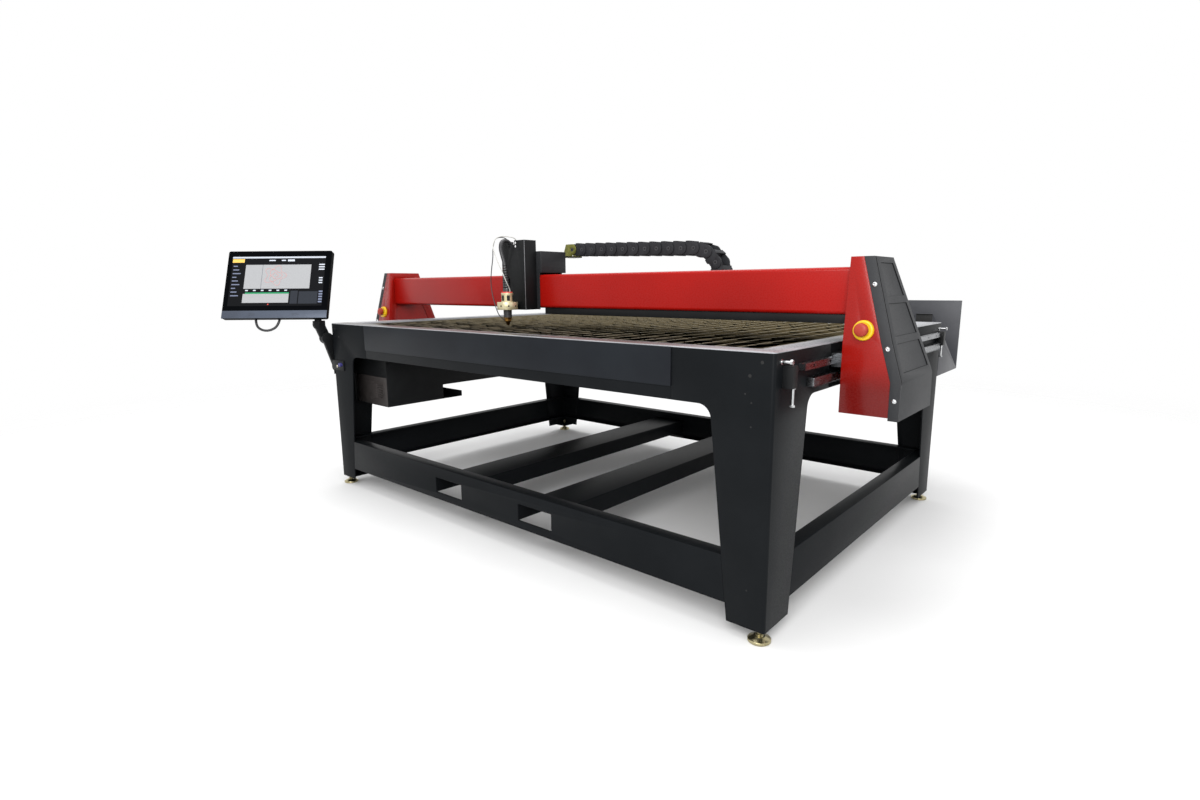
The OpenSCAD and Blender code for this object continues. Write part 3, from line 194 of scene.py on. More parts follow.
def shadeFoot(mat):
    tree, shader, place, bare = layersOf(mat)
    axes = addNode(tree, "ShaderNodeSeparateXYZ", links={"Vector": place})
    low = addNode(tree, "ShaderNodeMapRange", interpolation_type="SMOOTHSTEP",
                  links={"Value": axes.outputs["Z"]},
                  inputs={"From Min": footShade["bare"], "From Max": footShade["full"],
                          "To Max": footShade["share"]})
    shadeMix = addNode(tree, "ShaderNodeMix", data_type="RGBA", links={0: low.outputs["Result"], 6: bare},
                   inputs={7: toLinear(footShade["tone"])})
    tree.links.new(shadeMix.outputs[2], shader.inputs["Base Color"])


# darkens the lower part of the red housings: painted shade
shadeFoot(housingRed)
# moulded ABS with a leather-like grain
coverPlastic = finish("mouldedCoverPlastic", "#2e2f31", "#28292b", 0.58, 0.08, 2.5, 0.5, 220, specular=0.25)
# glass filled nylon of the chain links
chainPlastic = finish("chainNylon", "#26272a", "#202124", 0.5, 0.08, 2.5, 0.25, 90, specular=0.2)
# ground steel of rails, racks and trucks
groundSteel = finish("groundSteel", "#8c8e91", "#77797c", 0.28, 0.08, 1.5, 0.1, 120, metallic=1.0,
                     stretch=(1, 0.06, 1))
# galvanised pan under the slats, stained by slag
panSteel = finish("panSteel", "#4a443b", "#332e28", 0.6, 0.1, 14.0, 0.4, 160, metallic=0.6)
# zinc plated bolt of the arm's tab and the feet, faintly yellow
zincPlate = finish("zincPlate", "#c8c4b6", "#aba58f", 0.24, 0.08, 2.0, 0.1, 25, metallic=1.0)
feetPlate = finish("yellowZincFeet", "#b3aa88", "#8f8663", 0.26, 0.08, 2.0, 0.1, 25, metallic=1.0)
pinPlastic = finish("chainPinNylon", "#3a3b3e", "#333437", 0.42, 0.06, 1.5, 0.1, 30, specular=0.3)
# olive passivated zinc of the chain's end bracket
oliveZinc = finish("oliveZinc", "#77763a", "#5f6030", 0.38, 0.08, 2.0, 0.12, 30, metallic=0.75)
# turned brass of the nozzle with heat tint
nozzleBrass = finish("turnedBrass", "#a4793a", "#5d4527", 0.28, 0.1, 1.2, 0.15, 18, metallic=1.0,
                     stretch=(0.1, 0.1, 1))
# cream anodised aluminium of the torch mount
creamAnodised = finish("creamAnodised", "#cfc6a4", "#b4a982", 0.34, 0.07, 1.5, 0.1, 40, metallic=0.55)
# bright zinc of the frame's bolts
boltZinc = finish("boltBrightZinc", "#d2d3d4", "#b4b5b7", 0.22, 0.06, 2.0, 0.08, 20, metallic=1.0)
# glossy moulded rubber of the lead's boot
bootRubber = finish("bootRubber", "#18181a", "#1f1f21", 0.26, 0.06, 1.5, 0.05, 30, specular=0.8)
# black rubber of the leads and the torch's barrel
leadRubber = finish("leadRubber", "#222224", "#2b2b2d", 0.42, 0.08, 1.5, 0.15, 30)
# white silicone wire
wireWhite = finish("wireSilicone", "#b9b8b4", "#a5a49f", 0.5, 0.06, 1.5, 0.1, 30)
# yellow and red moulded plastic of the stop buttons
stopYellow = finish("stopYellowPlastic", "#e2b90f", "#d0a70c", 0.36, 0.06, 1.5, 0.08, 40)
stopRed = finish("stopRedPlastic", "#9c3325", "#8b2a1f", 0.42, 0.06, 1.5, 0.08, 40, specular=0.3)
ringRed = finish("collarRedPlastic", "#c9372f", "#b42d27", 0.4, 0.06, 1.5, 0.08, 40)
# satin black moulding of the screen's housing, blue-grey metallic chin and its speaker mesh
screenPlastic = finish("screenHousingPlastic", "#050607", "#070809", 0.4, 0.06, 1.5, 0.1, 80, specular=0.02)
chinPaint = finish("chinBlueGrey", "#4b525f", "#444a56", 0.42, 0.05, 1.2, 0.08, 160, metallic=0.35,
                   specular=0.3)
chinMesh = finish("chinSpeakerMesh", "#454c58", "#3a404b", 0.6, 0.08, 1.6, 0.5, 20)
# dark glass of the screen
screenGlass = finish("screenGlass", "#030406", "#050609", 0.12, 0.03, 30.0, 0.01, 300, specular=0.03)
# painted highlight: pale strip along the lifter sheet's fold, standing in for the light its bend catches
foldHighlight = finish("foldEdgeHighlight", "#77787b", "#5c5d60", 0.4, 0.08, 3.0, 0.1, 40)
holeDark = finish("drilledHoleShadow", "#060607", "#09090a", 0.8, 0.05, 2.0, 0.1, 40)
rubberBumper = finish("bumperRubber", "#151515", "#1d1d1d", 0.7, 0.08, 2.0, 0.2, 30)
knobBlue = finish("knobBluePlastic", "#3d3a78", "#333066", 0.4, 0.06, 1.5, 0.1, 20)
print("finishes made")


def keep(obj, body, mat=None, stands=()):
    if obj.name not in scene.collection.objects:
        scene.collection.objects.link(obj)
    if mat is not None:
        obj.data.materials.clear()
        obj.data.materials.append(mat)
    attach(obj, body)
    if stands:
        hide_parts(*stands)
    return obj


def meshFrom(bm, name, smoothAngle=35):
    mesh = bpy.data.meshes.new(name)
    bmesh.ops.recalc_face_normals(bm, faces=bm.faces)
    bm.to_mesh(mesh)
    bm.free()
    mesh.shade_smooth()
    mesh.set_sharp_from_angle(angle=math.radians(smoothAngle))
    return mesh


def addPiece(name, bm, body, mat, stands=(), smoothAngle=35, place=None):
    if place is not None:
        bmesh.ops.transform(bm, matrix=place, verts=bm.verts)
    return keep(bpy.data.objects.new(name, meshFrom(bm, name, smoothAngle)), body, mat, stands)


def joinInto(whole, bm):
    mesh = bpy.data.meshes.new("joined")
    bm.to_mesh(mesh)
    bm.free()
    whole.from_mesh(mesh)


def bakeModifiers(obj):
    scene.collection.objects.link(obj)
    bpy.context.view_layer.update()
    done = bpy.data.meshes.new_from_object(obj.evaluated_get(bpy.context.evaluated_depsgraph_get()))
    obj.modifiers.clear()
    scene.collection.objects.unlink(obj)
    return done


# copy of a CAD node's mesh without its doubles and the lines across flat faces: metres, degrees
cleaning = {"gap": 2e-5, "flat": 0.6}


def mergedCopy(node):
    bm = bmesh.new()
    bm.from_mesh(nodes[node].data)
    bmesh.ops.remove_doubles(bm, verts=bm.verts, dist=cleaning["gap"])
    bmesh.ops.dissolve_limit(bm, angle_limit=math.radians(cleaning["flat"]), verts=bm.verts, edges=bm.edges)
    return bm


def rollEdges(bm, name, width, angle):
    mesh = bpy.data.meshes.new(name)
    bm.to_mesh(mesh)
    bm.free()
    raw = bpy.data.objects.new(name + "_raw", mesh)
    bevel = raw.modifiers.new("roll", "BEVEL")
    bevel.width = width
    bevel.segments = 2
    bevel.limit_method = "ANGLE"
    bevel.angle_limit = math.radians(angle)
    return bakeModifiers(raw)


# a CAD node with rolled edges, as folded sheet and mouldings have
def rolledSkin(node, mat, width):
    done = rollEdges(mergedCopy(node), node + "_rolled", width, 32)
    done.shade_smooth()
    done.set_sharp_from_angle(angle=math.radians(40))
    return keep(bpy.data.objects.new(node + "_skin", done), nodes[node]["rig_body"], mat, [node])


def lathe(profile, steps=40):
    bm = bmesh.new()
    rings = []
    angles = [2 * math.pi * k / steps for k in range(steps)]
    for radius, z in profile:
        if radius < 1e-6:
            rings.append([bm.verts.new((0, 0, z))])
        else:
            rings.append([bm.verts.new((radius * math.cos(a), radius * math.sin(a), z)) for a in angles])
    for low, high in zip(rings, rings[1:]):
        for k in range(steps):
            m = (k + 1) % steps
            if len(low) == 1 and len(high) > 1:
                bm.faces.new((low[0], high[m], high[k]))
            elif len(high) == 1 and len(low) > 1:
                bm.faces.new((low[k], low[m], high[0]))
            elif len(low) > 1:
                bm.faces.new((low[k], low[m], high[m], high[k]))
    return bm


def boxInto(bm, low, high, roll=0.0, segments=2, turn=None):
    made = bmesh.ops.create_cube(bm, size=1.0)["verts"]
    low, high = Vector(low), Vector(high)
    for v in made:
        v.co = Vector((low[i] + (v.co[i] + 0.5) * (high[i] - low[i]) for i in range(3)))
    if roll:
        edges = list({e for v in made for e in v.link_edges})
        cut = bmesh.ops.bevel(bm, geom=edges, offset=roll, segments=segments, affect="EDGES", profile=0.5)
        made = list({v for f in cut["faces"] for v in f.verts} | {v for v in made if v.is_valid})
    if turn is not None:
        bmesh.ops.transform(bm, matrix=turn, verts=[v for v in made if v.is_valid])
    return made


# node tree with named inputs and one mesh output
def newTree(name, sockets):
    tree = bpy.data.node_groups.new(name, "GeometryNodeTree")
    for label, kind in sockets.items():
        tree.interface.new_socket(label, in_out="INPUT", socket_type="NodeSocket" + kind)
    tree.interface.new_socket("Mesh", in_out="OUTPUT", socket_type="NodeSocketGeometry")
    return tree, addNode(tree, "NodeGroupInput")


def endTree(tree, start, instances):
    real = addNode(tree, "GeometryNodeRealizeInstances", links={"Geometry": instances})
    painted = addNode(tree, "GeometryNodeSetMaterial",
                      links={"Geometry": real.outputs[0], "Material": start.outputs["Finish"]})
    addNode(tree, "NodeGroupOutput", links={"Mesh": painted.outputs[0]})
    return tree


# runs a tree on a mesh and gives back the plain result
def growMesh(name, mesh, tree, values):
    raw = bpy.data.objects.new(name + "_raw", mesh)
    mod = raw.modifiers.new("grow", "NODES")
    mod.node_group = tree
    for socket in tree.interface.items_tree:
        if socket.in_out == "INPUT" and socket.name in values:
            mod[socket.identifier] = values[socket.name]
    return bakeModifiers(raw)


# places one shape on every point of a carrier mesh, turned to its aim, as one plain mesh
def scatterTree():
    tree, start = newTree("placeOnPoints", {"Points": "Geometry", "Shape": "Object", "Finish": "Material",
                                            "Size": "Float"})
    aim = addNode(tree, "GeometryNodeInputNamedAttribute", data_type="FLOAT_VECTOR", inputs={"Name": "aim"})
    turned = addNode(tree, "FunctionNodeAlignRotationToVector", axis="Z",
                     links={"Vector": aim.outputs["Attribute"]})
    shape = addNode(tree, "GeometryNodeObjectInfo", links={"Object": start.outputs["Shape"]})
    placed = addNode(tree, "GeometryNodeInstanceOnPoints",
                     links={"Points": start.outputs["Points"], "Instance": shape.outputs["Geometry"],
                            "Rotation": turned.outputs["Rotation"], "Scale": start.outputs["Size"]})
    return endTree(tree, start, placed.outputs["Instances"])


placeOnPoints = scatterTree()


def scatter(name, shapeMesh, spots, mat, body, stands=()):
    shape = bpy.data.objects.new(name + "_shape", shapeMesh)
    scene.collection.objects.link(shape)
    carrier = bpy.data.meshes.new(name + "_points")
    carrier.from_pydata([p for p, a in spots], [], [])
    aims = carrier.attributes.new("aim", "FLOAT_VECTOR", "POINT")
    aims.data.foreach_set("vector", [c for p, a in spots for c in a])
    done = growMesh(name, carrier, placeOnPoints, {"Shape": shape, "Finish": mat, "Size": 1.0})
    done.shade_smooth()
    done.set_sharp_from_angle(angle=math.radians(35))
    bpy.data.objects.remove(shape)
    return keep(bpy.data.objects.new(name, done), body, None, stands)


# button head screw, seated at z = 0, with a hexagon socket
def buttonHead(radius, height, socket):
    bm = lathe([(radius, 0), (radius, height * 0.18), (radius * 0.93, height * 0.5),
                (radius * 0.72, height * 0.83), (radius * 0.5, height), (socket, height)], 24)
    rim = [v for v in bm.verts if abs(v.co.z - height) < 1e-7 and (v.co.xy.length - socket) < 1e-6]
    hexa = []
    for k in range(24):
        a = math.pi * k / 12
        corner = math.cos(math.pi / 6) / math.cos(a % (math.pi / 3) - math.pi / 6)
        hexa.append(bm.verts.new((socket * corner * math.cos(a), socket * corner * math.sin(a), height)))
    floor = [bm.verts.new((v.co.x, v.co.y, height * 0.35)) for v in hexa]
    rim.sort(key=lambda v: math.atan2(v.co.y, v.co.x) % (2 * math.pi))
    for k in range(24):
        m = (k + 1) % 24
        bm.faces.new((rim[k], rim[m], hexa[m], hexa[k]))
        bm.faces.new((hexa[k], hexa[m], floor[m], floor[k]))
    bm.faces.new(floor)
    bmesh.ops.remove_doubles(bm, verts=bm.verts, dist=1e-7)
    return meshFrom(bm, "buttonHead")


# camera: same place, turn and lens as the photo, worked out for 1200 x 800
view = {"place": (1.9583, -2.3882, 1.0203), "yaw": -0.719, "pitch": 0.1782, "roll": -0.0078, "focal": 631.66,
        "pixelsWide": 1200, "sensor": 36.0}


def makeCamera():
    yaw, pitch, roll = view["yaw"], view["pitch"], view["roll"]
    ahead = Vector((math.sin(yaw) * math.cos(pitch), math.cos(yaw) * math.cos(pitch), -math.sin(pitch)))
    right = Vector((math.cos(yaw), -math.sin(yaw), 0))
    up = right.cross(ahead)
    right, up = right * math.cos(roll) + up * math.sin(roll), up * math.cos(roll) - right * math.sin(roll)
    lens = bpy.data.cameras.new("photoCamera")
    lens.sensor_width = view["sensor"]
    lens.lens = view["focal"] / view["pixelsWide"] * view["sensor"]
    lens.clip_end = 60
    cam = bpy.data.objects.new("photoCamera", lens)
    scene.collection.objects.link(cam)
    turn = Matrix((right, up, -ahead)).transposed().to_4x4()
    cam.matrix_world = Matrix.Translation(view["place"]) @ turn
    scene.camera = cam


makeCamera()
print("camera set")

# cords: lead, wires and the screen's loop, on the routes of the solids
cords = {
    "collarTop": (-0.155, -0.575, 1.0),
    "lead": [(0, 0, 0), (0, 0, 12), (-11, 0, 112), (-23, 0, 150), (-35, 2, 180), (-43, 12, 204),
             (-48, 30, 216), (-51, 55, 216), (-52, 75, 202), (-52, 87, 178), (-52, 89, 157)],
    "sensor": [(19, 0, 0), (20, -3, 12), (27, -25, 40), (15, -35, 80), (-10, -35, 120), (-35, -33, 160),
               (-57, -21, 195), (-67, 5, 226), (-61, 35, 236), (-38, 75, 232), (-34, 95, 215),
               (-34, 101, 190)],
    "ohmic": [(-16, 0, -120), (-28, 0, -119), (-57, -3, -97), (-77, -5, -55), (-95, -5, 0), (-99, -5, 50),
              (-91, -5, 100), (-81, -5, 145), (-81, -1, 190), (-83, 15, 225), (-83, 45, 234), (-81, 75, 228),
              (-81, 91, 205), (-81, 95, 180)],
    "loop": [(-106, 32, -130), (-106, 32, -150), (-105, 32, -185), (-93, 32, -215), (-71, 32, -231),
             (-46, 32, -236), (-21, 32, -231), (1, 32, -215), (13, 32, -185), (14, 32, -150), (14, 32, -130)],
    "leadD": 0.016, "wireD": 0.004, "loopD": 0.012,
    "bootD": (0.032, 0.020), "bootRib": 0.0034, "bootRibs": 10, "ribSteps": 8,
    "giveLow": 0.03, "ohmicLow": -0.08, "giveHigh": 0.19,  # heights over the collar, torch to carriage
}

# screen: centre of its face, turn and lean
screen = {"centre": (-1.418, -1.010, 1.043), "yaw": 41.0, "tilt": 22.5, "w": 0.530, "h": 0.363}
screenFrame = (Matrix.Translation(screen["centre"]) @ Matrix.Rotation(math.radians(screen["yaw"]), 4, "Z")
               @ Matrix.Rotation(-math.radians(screen["tilt"]), 4, "X"))


# smooth line through route points, sampled evenly enough for a tube
def smoothRoute(points, per=6):
    pts = [Vector(p) for p in points]
    out = []
    for i in range(len(pts) - 1):
        a, b = pts[i], pts[i + 1]
        before = pts[i - 1] if i else a - (b - a)
        after = pts[i + 2] if i + 2 < len(pts) else b + (b - a)
        for k in range(per):
            t = k / per
            out.append(0.5 * ((2 * a) + (b - before) * t + (2 * before - 5 * a + 4 * b - after) * t * t
                              + (3 * a - before - 3 * b + after) * t ** 3))
    out.append(pts[-1])
    return out


def tube(route, radii, sides=16):
    bm = bmesh.new()
    carried = None
    rings = []
    angles = [2 * math.pi * k / sides for k in range(sides)]
    for i, p in enumerate(route):
        ahead = (route[min(i + 1, len(route) - 1)] - route[max(i - 1, 0)]).normalized()
        if carried is None:
            carried = ahead.orthogonal().normalized()
        carried = (carried - ahead * carried.dot(ahead)).normalized()
        other = ahead.cross(carried)
        spokes = [carried * math.cos(a) + other * math.sin(a) for a in angles]
        rings.append([bm.verts.new(p + radii[i] * spoke) for spoke in spokes])
    for low, high in zip(rings, rings[1:]):
        for k in range(sides):
            bm.faces.new((low[k], low[(k + 1) % sides], high[(k + 1) % sides], high[k]))
    bm.faces.new(rings[0][::-1])
    bm.faces.new(rings[-1])
    return bm


# ribbed boot that tapers up the first stretch of the lead
def bootMesh(base):
    low, high = base + Vector(cords["lead"][1]) / 1000, base + Vector(cords["lead"][2]) / 1000
    steps = cords["bootRibs"] * cords["ribSteps"]
    line, radii = [base.copy()], [cords["bootD"][0] / 2]
    for k in range(steps + 1):
        line.append(low.lerp(high, k / steps))
        swell = 0.5 + 0.5 * math.cos(2 * math.pi * k / cords["ribSteps"])
        wide = cords["bootD"][0] + (cords["bootD"][1] - cords["bootD"][0]) * k / steps
        radii.append(wide / 2 - cords["bootRib"] * (1 - min(1.0, swell * 1.6)))
    mesh = meshFrom(tube(line, radii, 28), "leadBoot", 60)
    mesh.materials.append(bootRubber)
    return mesh


def makeCords():
    base = Vector(cords["collarTop"])
    for name, node, key, dia, mat in (("torchLead", "torch_lead", "lead", cords["leadD"], leadRubber),
                                      ("sensorWire", "sensor_wire", "sensor", cords["wireD"], wireWhite),
                                      ("ohmicWire", "ohmic_wire", "ohmic", cords["wireD"], leadRubber)):
        route = [base + p / 1000 for p in smoothRoute(cords[key])]
        mesh = meshFrom(tube(route, [dia / 2] * len(route), 18 if dia > 0.01 else 10), name)
        obj = bpy.data.objects.new(name, mesh)
        scene.collection.objects.link(obj)
        mesh.materials.append(mat)
        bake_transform(obj)
        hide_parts(node)
        if key == "lead":
            boot = bpy.data.objects.new("leadBoot", bootMesh(base))
            scene.collection.objects.link(boot)
            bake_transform(boot)
            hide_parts(node)
    route = [screenFrame @ (p / 1000) for p in smoothRoute(cords["loop"])]
    loop = tube(route, [cords["loopD"] / 2] * len(route), 14)
    obj = addPiece("screenLoop", loop, "monitor", leadRubber, ["monitor_cable"])


makeCords()
print("cords laid")

# folded sheet and cast pieces that keep their CAD form: finish, edge roll in metres
rolled = {
    "front_legs": (powderBlack, 0.0016), "rear_legs": (powderBlack, 0.0016),
    "long_rails": (powderBlack, 0.0016), "side_rails": (powderBlack, 0.0016),
    "front_apron": (apronCoat, 0.0012),
    "top_rim": (rimEnamel, 0.0009), "lower_long": (powderBlack, 0.0018), "lower_sides": (powderBlack, 0.0018),
    "rear_tray": (trayCoat, 0.0009), "control_box": (boxCoatLit, 0.0025), "control_shelf": (powderDull, 0.0009),
    "arm_bracket": (powderDull, 0.0012), "arm_lower": (powderDull, 0.0015), "arm_upper": (powderDull, 0.0015),
    "monitor_mount": (powderDull, 0.0012), "gantry_beam": (glossRed, 0.0012),
    "chain_tray": (powderDull, 0.0009), "end_housing_left": (housingRed, 0.0012),
    "end_housing_right": (housingRed, 0.0012), "end_cover_left": (coverPlastic, 0.0018),
    "end_cover_right": (coverPlastic, 0.0018), "carriage_plate": (powderDull, 0.0012),
    "saddle_box": (saddleCoat, 0.0015), "lifter_housing": (powderDull, 0.0009),
    "hard_stops": (powderDull, 0.0015), "x_drive": (powderDull, 0.0015),
    "y_drives": (powderDull, 0.0015), "chain_bracket": (oliveZinc, 0.0009),
    "torch_holder": (creamAnodised, 0.0015),
}
for node, (mat, width) in rolled.items():
    rolledSkin(node, mat, width)
# ground, plated and moulded pieces that keep their CAD mesh as it is
plain = {
    "slat_combs": panSteel, "drain_pan": panSteel, "guide_rails": groundSteel, "x_rails": groundSteel,
    "guide_trucks": groundSteel, "y_pinions": groundSteel, "x_pinion": groundSteel, "z_drive": groundSteel,
    "frame_bolts": boltZinc, "monitor_shell": screenPlastic, "monitor_screen": screenGlass,
}
for node, mat in plain.items():
    nodes[node].data.materials.clear()
    nodes[node].data.materials.append(mat)

# fork tubes: folded sheet, open below, flush with the pockets in the long beams
forkTube = {"x": (0.177, 0.365), "z": (0.128, 0.198), "y": 0.839, "sheet": 0.003, "fold": 0.006, "steps": 4}


def makeForkTubes():
    bm = bmesh.new()
    quarter = [math.pi / 2 * k / forkTube["steps"] for k in range(forkTube["steps"] + 1)]

    def foldedLine(inset):
        low, high = forkTube["x"][0] + inset, forkTube["x"][1] - inset
        top, bend = forkTube["z"][1] - inset, forkTube["fold"] - inset
        left = [(low + bend - bend * math.cos(a), top - bend + bend * math.sin(a)) for a in quarter]
        right = [(high - bend + bend * math.sin(a), top - bend + bend * math.cos(a)) for a in quarter]
        return [(low, forkTube["z"][0])] + left + right + [(high, forkTube["z"][0])]

    for side in (-1, 1):
        loop = foldedLine(0) + foldedLine(forkTube["sheet"])[::-1]
        ends = [[bm.verts.new((side * x, y, z)) for x, z in loop] for y in (-forkTube["y"], forkTube["y"])]
        count = len(loop)
        for k in range(count):
            after = (k + 1) % count
            bm.faces.new((ends[0][k], ends[0][after], ends[1][after], ends[1][k]))
        for ring in ends:
            for k in range(count // 2 - 1):
                bm.faces.new((ring[k], ring[k + 1], ring[count - 2 - k], ring[count - 1 - k]))
    addPiece("forkTubes", bm, "frame", powderBlack, ["fork_channels"], 50)


makeForkTubes()
print("frame dressed")


# slat bed: cut-marked slats in three patterns, one behind the other
slatBed = {"count": 30, "pitch": 0.076, "thick": 0.005, "height": 0.075, "reach": 0.757, "top": 0.838,
           "marks": 26, "seed": 4}


def slatShape(name, rnd):
    bm = bmesh.new()
    half, h, y0 = slatBed["thick"] / 2, slatBed["height"], slatBed["reach"]
    cuts = sorted(rnd.uniform(-y0 + 0.03, y0 - 0.03) for i in range(slatBed["marks"]))
    line = [(-y0, -h), (y0, -h), (y0, 0)]
    spots = [c for i, c in enumerate(cuts) if not i or c - cuts[i - 1] > 0.022]
    for c in reversed(spots):
        wide, deep = rnd.uniform(0.002, 0.007), rnd.uniform(0.002, 0.008)
        line += [(c + wide, 0), (c + wide * 0.3, -deep), (c - wide * 0.4, -deep * 0.9), (c - wide, 0)]
    line.append((-y0, 0))
    for x in (-half, half):
        bm.faces.new([bm.verts.new((x, y, z)) for y, z in line])
    bm.verts.ensure_lookup_table()
    n = len(line)
    for k in range(n):
        m = (k + 1) % n
        bm.faces.new((bm.verts[k], bm.verts[m], bm.verts[n + m], bm.verts[n + k]))
    bmesh.ops.triangulate(bm, faces=[f for f in bm.faces if len(f.verts) > 4])
    return meshFrom(bm, name, 30)


def slatTree():
    tree, start = newTree("slatRow", {"Slat A": "Object", "Slat B": "Object", "Slat C": "Object",
                                      "Count": "Int", "Pitch": "Float", "Height": "Float",
                                      "Finish": "Material"})
    spans = addNode(tree, "ShaderNodeMath", operation="SUBTRACT", links={0: start.outputs["Count"]},
                    inputs={1: 1.0})
    run = addNode(tree, "ShaderNodeMath", operation="MULTIPLY",
                  links={0: spans.outputs[0], 1: start.outputs["Pitch"]})
    first = addNode(tree, "ShaderNodeMath", operation="MULTIPLY", links={0: run.outputs[0]}, inputs={1: -0.5})
    begin = addNode(tree, "ShaderNodeCombineXYZ", links={"X": first.outputs[0], "Z": start.outputs["Height"]})
    step = addNode(tree, "ShaderNodeCombineXYZ", links={"X": start.outputs["Pitch"]})
    row = addNode(tree, "GeometryNodeMeshLine", mode="OFFSET",
                  links={"Count": start.outputs["Count"], "Start Location": begin.outputs[0],
                         "Offset": step.outputs[0]})
    index = addNode(tree, "GeometryNodeInputIndex")
    third = addNode(tree, "ShaderNodeMath", operation="MODULO", links={0: index.outputs[0]}, inputs={1: 3.0})
    joined = addNode(tree, "GeometryNodeJoinGeometry")
    for k, name in enumerate(("Slat A", "Slat B", "Slat C")):
        mine = addNode(tree, "FunctionNodeCompare", data_type="FLOAT", operation="EQUAL",
                       links={0: third.outputs[0]}, inputs={1: float(k), "Epsilon": 0.1})
        shape = addNode(tree, "GeometryNodeObjectInfo", links={"Object": start.outputs[name]})
        placed = addNode(tree, "GeometryNodeInstanceOnPoints",
                         links={"Points": row.outputs["Mesh"], "Selection": mine.outputs[0],
                                "Instance": shape.outputs["Geometry"]})
        tree.links.new(placed.outputs["Instances"], joined.inputs["Geometry"])
    return endTree(tree, start, joined.outputs[0])


# hot rolled slats: grey scale, rust and slag stain, olive brown where most cutting was done,
# paler worn edges on top
slatStain = {"cloudMm": 230, "sway": 0.9, "zone": (-0.25, 0.25), "rust": "#6a5c38",
             "spotMm": 35, "edge": (0.006, 0.0005), "worn": "#a39a84"}


def slatFinish():
    mat = finish("scaledSlatSteel", "#2b2724", "#3a342c", 0.62, 0.14, 7.0, 0.5, 60, metallic=0.35)
    tree, shader, place, base = layersOf(mat)
    axes = addNode(tree, "ShaderNodeSeparateXYZ", links={"Vector": place})
    cloud = addNode(tree, "ShaderNodeTexNoise", links={"Vector": place},
                    inputs={"Scale": perMetre(slatStain["cloudMm"]), "Detail": 5.0, "Roughness": 0.65})
    shifted = addNode(tree, "ShaderNodeMath", operation="MULTIPLY_ADD",
                      links={0: cloud.outputs["Fac"], 2: axes.outputs["Y"]}, inputs={1: slatStain["sway"]})
    zone = addNode(tree, "ShaderNodeMapRange", links={"Value": shifted.outputs[0]},
                   inputs={"From Min": slatStain["zone"][0], "From Max": slatStain["zone"][1]})
    rust = addNode(tree, "ShaderNodeMix", data_type="RGBA", links={0: zone.outputs["Result"], 6: base},
                   inputs={7: toLinear(slatStain["rust"])})
    spots = addNode(tree, "ShaderNodeTexNoise", links={"Vector": place},
                    inputs={"Scale": perMetre(slatStain["spotMm"]), "Detail": 4.0})
    edge = addNode(tree, "ShaderNodeMapRange", links={"Value": axes.outputs["Z"]},
                   inputs={"From Min": slatBed["top"] - slatStain["edge"][0],
                           "From Max": slatBed["top"] - slatStain["edge"][1]})
    worn = addNode(tree, "ShaderNodeMath", operation="MULTIPLY",
                   links={0: edge.outputs["Result"], 1: spots.outputs["Fac"]})
    top = addNode(tree, "ShaderNodeMix", data_type="RGBA", links={0: worn.outputs[0], 6: rust.outputs[2]},
                  inputs={7: toLinear(slatStain["worn"])})
    tree.links.new(top.outputs[2], shader.inputs["Base Color"])
    return mat


def makeSlats():
    rnd = random.Random(slatBed["seed"])
    shapes = [bpy.data.objects.new("slat" + n, slatShape("slat" + n, rnd)) for n in "ABC"]
    for s in shapes:
        scene.collection.objects.link(s)
    values = {"Slat " + n: s for s, n in zip(shapes, "ABC")}
    values.update({"Count": slatBed["count"], "Pitch": slatBed["pitch"], "Height": slatBed["top"],
                   "Finish": slatFinish()})
    done = growMesh("slatRow", bpy.data.meshes.new("slatRow_raw"), slatTree(), values)
    for s in shapes:
        bpy.data.objects.remove(s)
    keep(bpy.data.objects.new("slatRow", done), "frame", None, ["slats"])


makeSlats()
print("slats laid")

# cable chain: upper and lower runs split into links, each with rolled edges and pin discs, and the bend as
# one piece
chain = {"pitch": 0.060, "startX": -0.104, "top": 1.166, "rise": 0.021, "y": -0.185, "halfWidth": 0.0354,
         "upper": 11, "lower": 9, "bend": 6, "pinR": 0.0046, "pinT": 0.0008, "ringR": 0.0085, "ringT": 0.0005,
         "roll": 0.0009}
chain["slope"] = math.asin(chain["rise"] / (chain["upper"] * chain["pitch"]))
chain["bendX"] = chain["startX"] + chain["upper"] * chain["pitch"] * math.cos(chain["slope"])
chain["low"] = chain["top"] - chain["pitch"] / math.sin(math.pi / 2 / chain["bend"])


# a node's links as separate meshes
def looseParts(node):
    bm = mergedCopy(node)
    seen, parts = set(), []
    for v in bm.verts:
        if v in seen:
            continue
        group, todo = [], [v]
        seen.add(v)
        while todo:
            w = todo.pop()
            group.append(w)
            for e in w.link_edges:
                o = e.other_vert(w)
                if o not in seen:
                    seen.add(o)
                    todo.append(o)
        parts.append(group)
    meshes = []
    for group in parts:
        piece = bmesh.new()
        twin = {v: piece.verts.new(v.co) for v in group}
        for f in bm.faces:
            if f.verts[0] in twin:
                piece.faces.new([twin[v] for v in f.verts])
        meshes.append(piece)
    bm.free()
    return meshes


# link with rolled edges and the dark sockets of its pins
def linkMesh(piece, name, pins):
    bm = bmesh.new()
    bm.from_mesh(rollEdges(piece, name, chain["roll"], 35))
    for slot, radius, depth in ((1, chain["ringR"], chain["ringT"]), (2, chain["pinR"], chain["pinT"])):
        before = len(bm.faces)
        for x, z in pins:
            for s in (-1, 1):
                disc = bmesh.ops.create_cone(bm, cap_ends=True, segments=16, radius1=radius, radius2=radius,
                                             depth=depth)["verts"]
                bmesh.ops.transform(bm, verts=disc, matrix=Matrix.Translation(
                    (x, chain["y"] + s * chain["halfWidth"], z)) @ Matrix.Rotation(math.pi / 2, 4, "X"))
        bm.faces.ensure_lookup_table()
        for f in bm.faces[before:]:
            f.material_index = slot
    out = meshFrom(bm, name, 38)
    for mat in (chainPlastic, pinPlastic, holeDark):
        out.materials.append(mat)
    return out


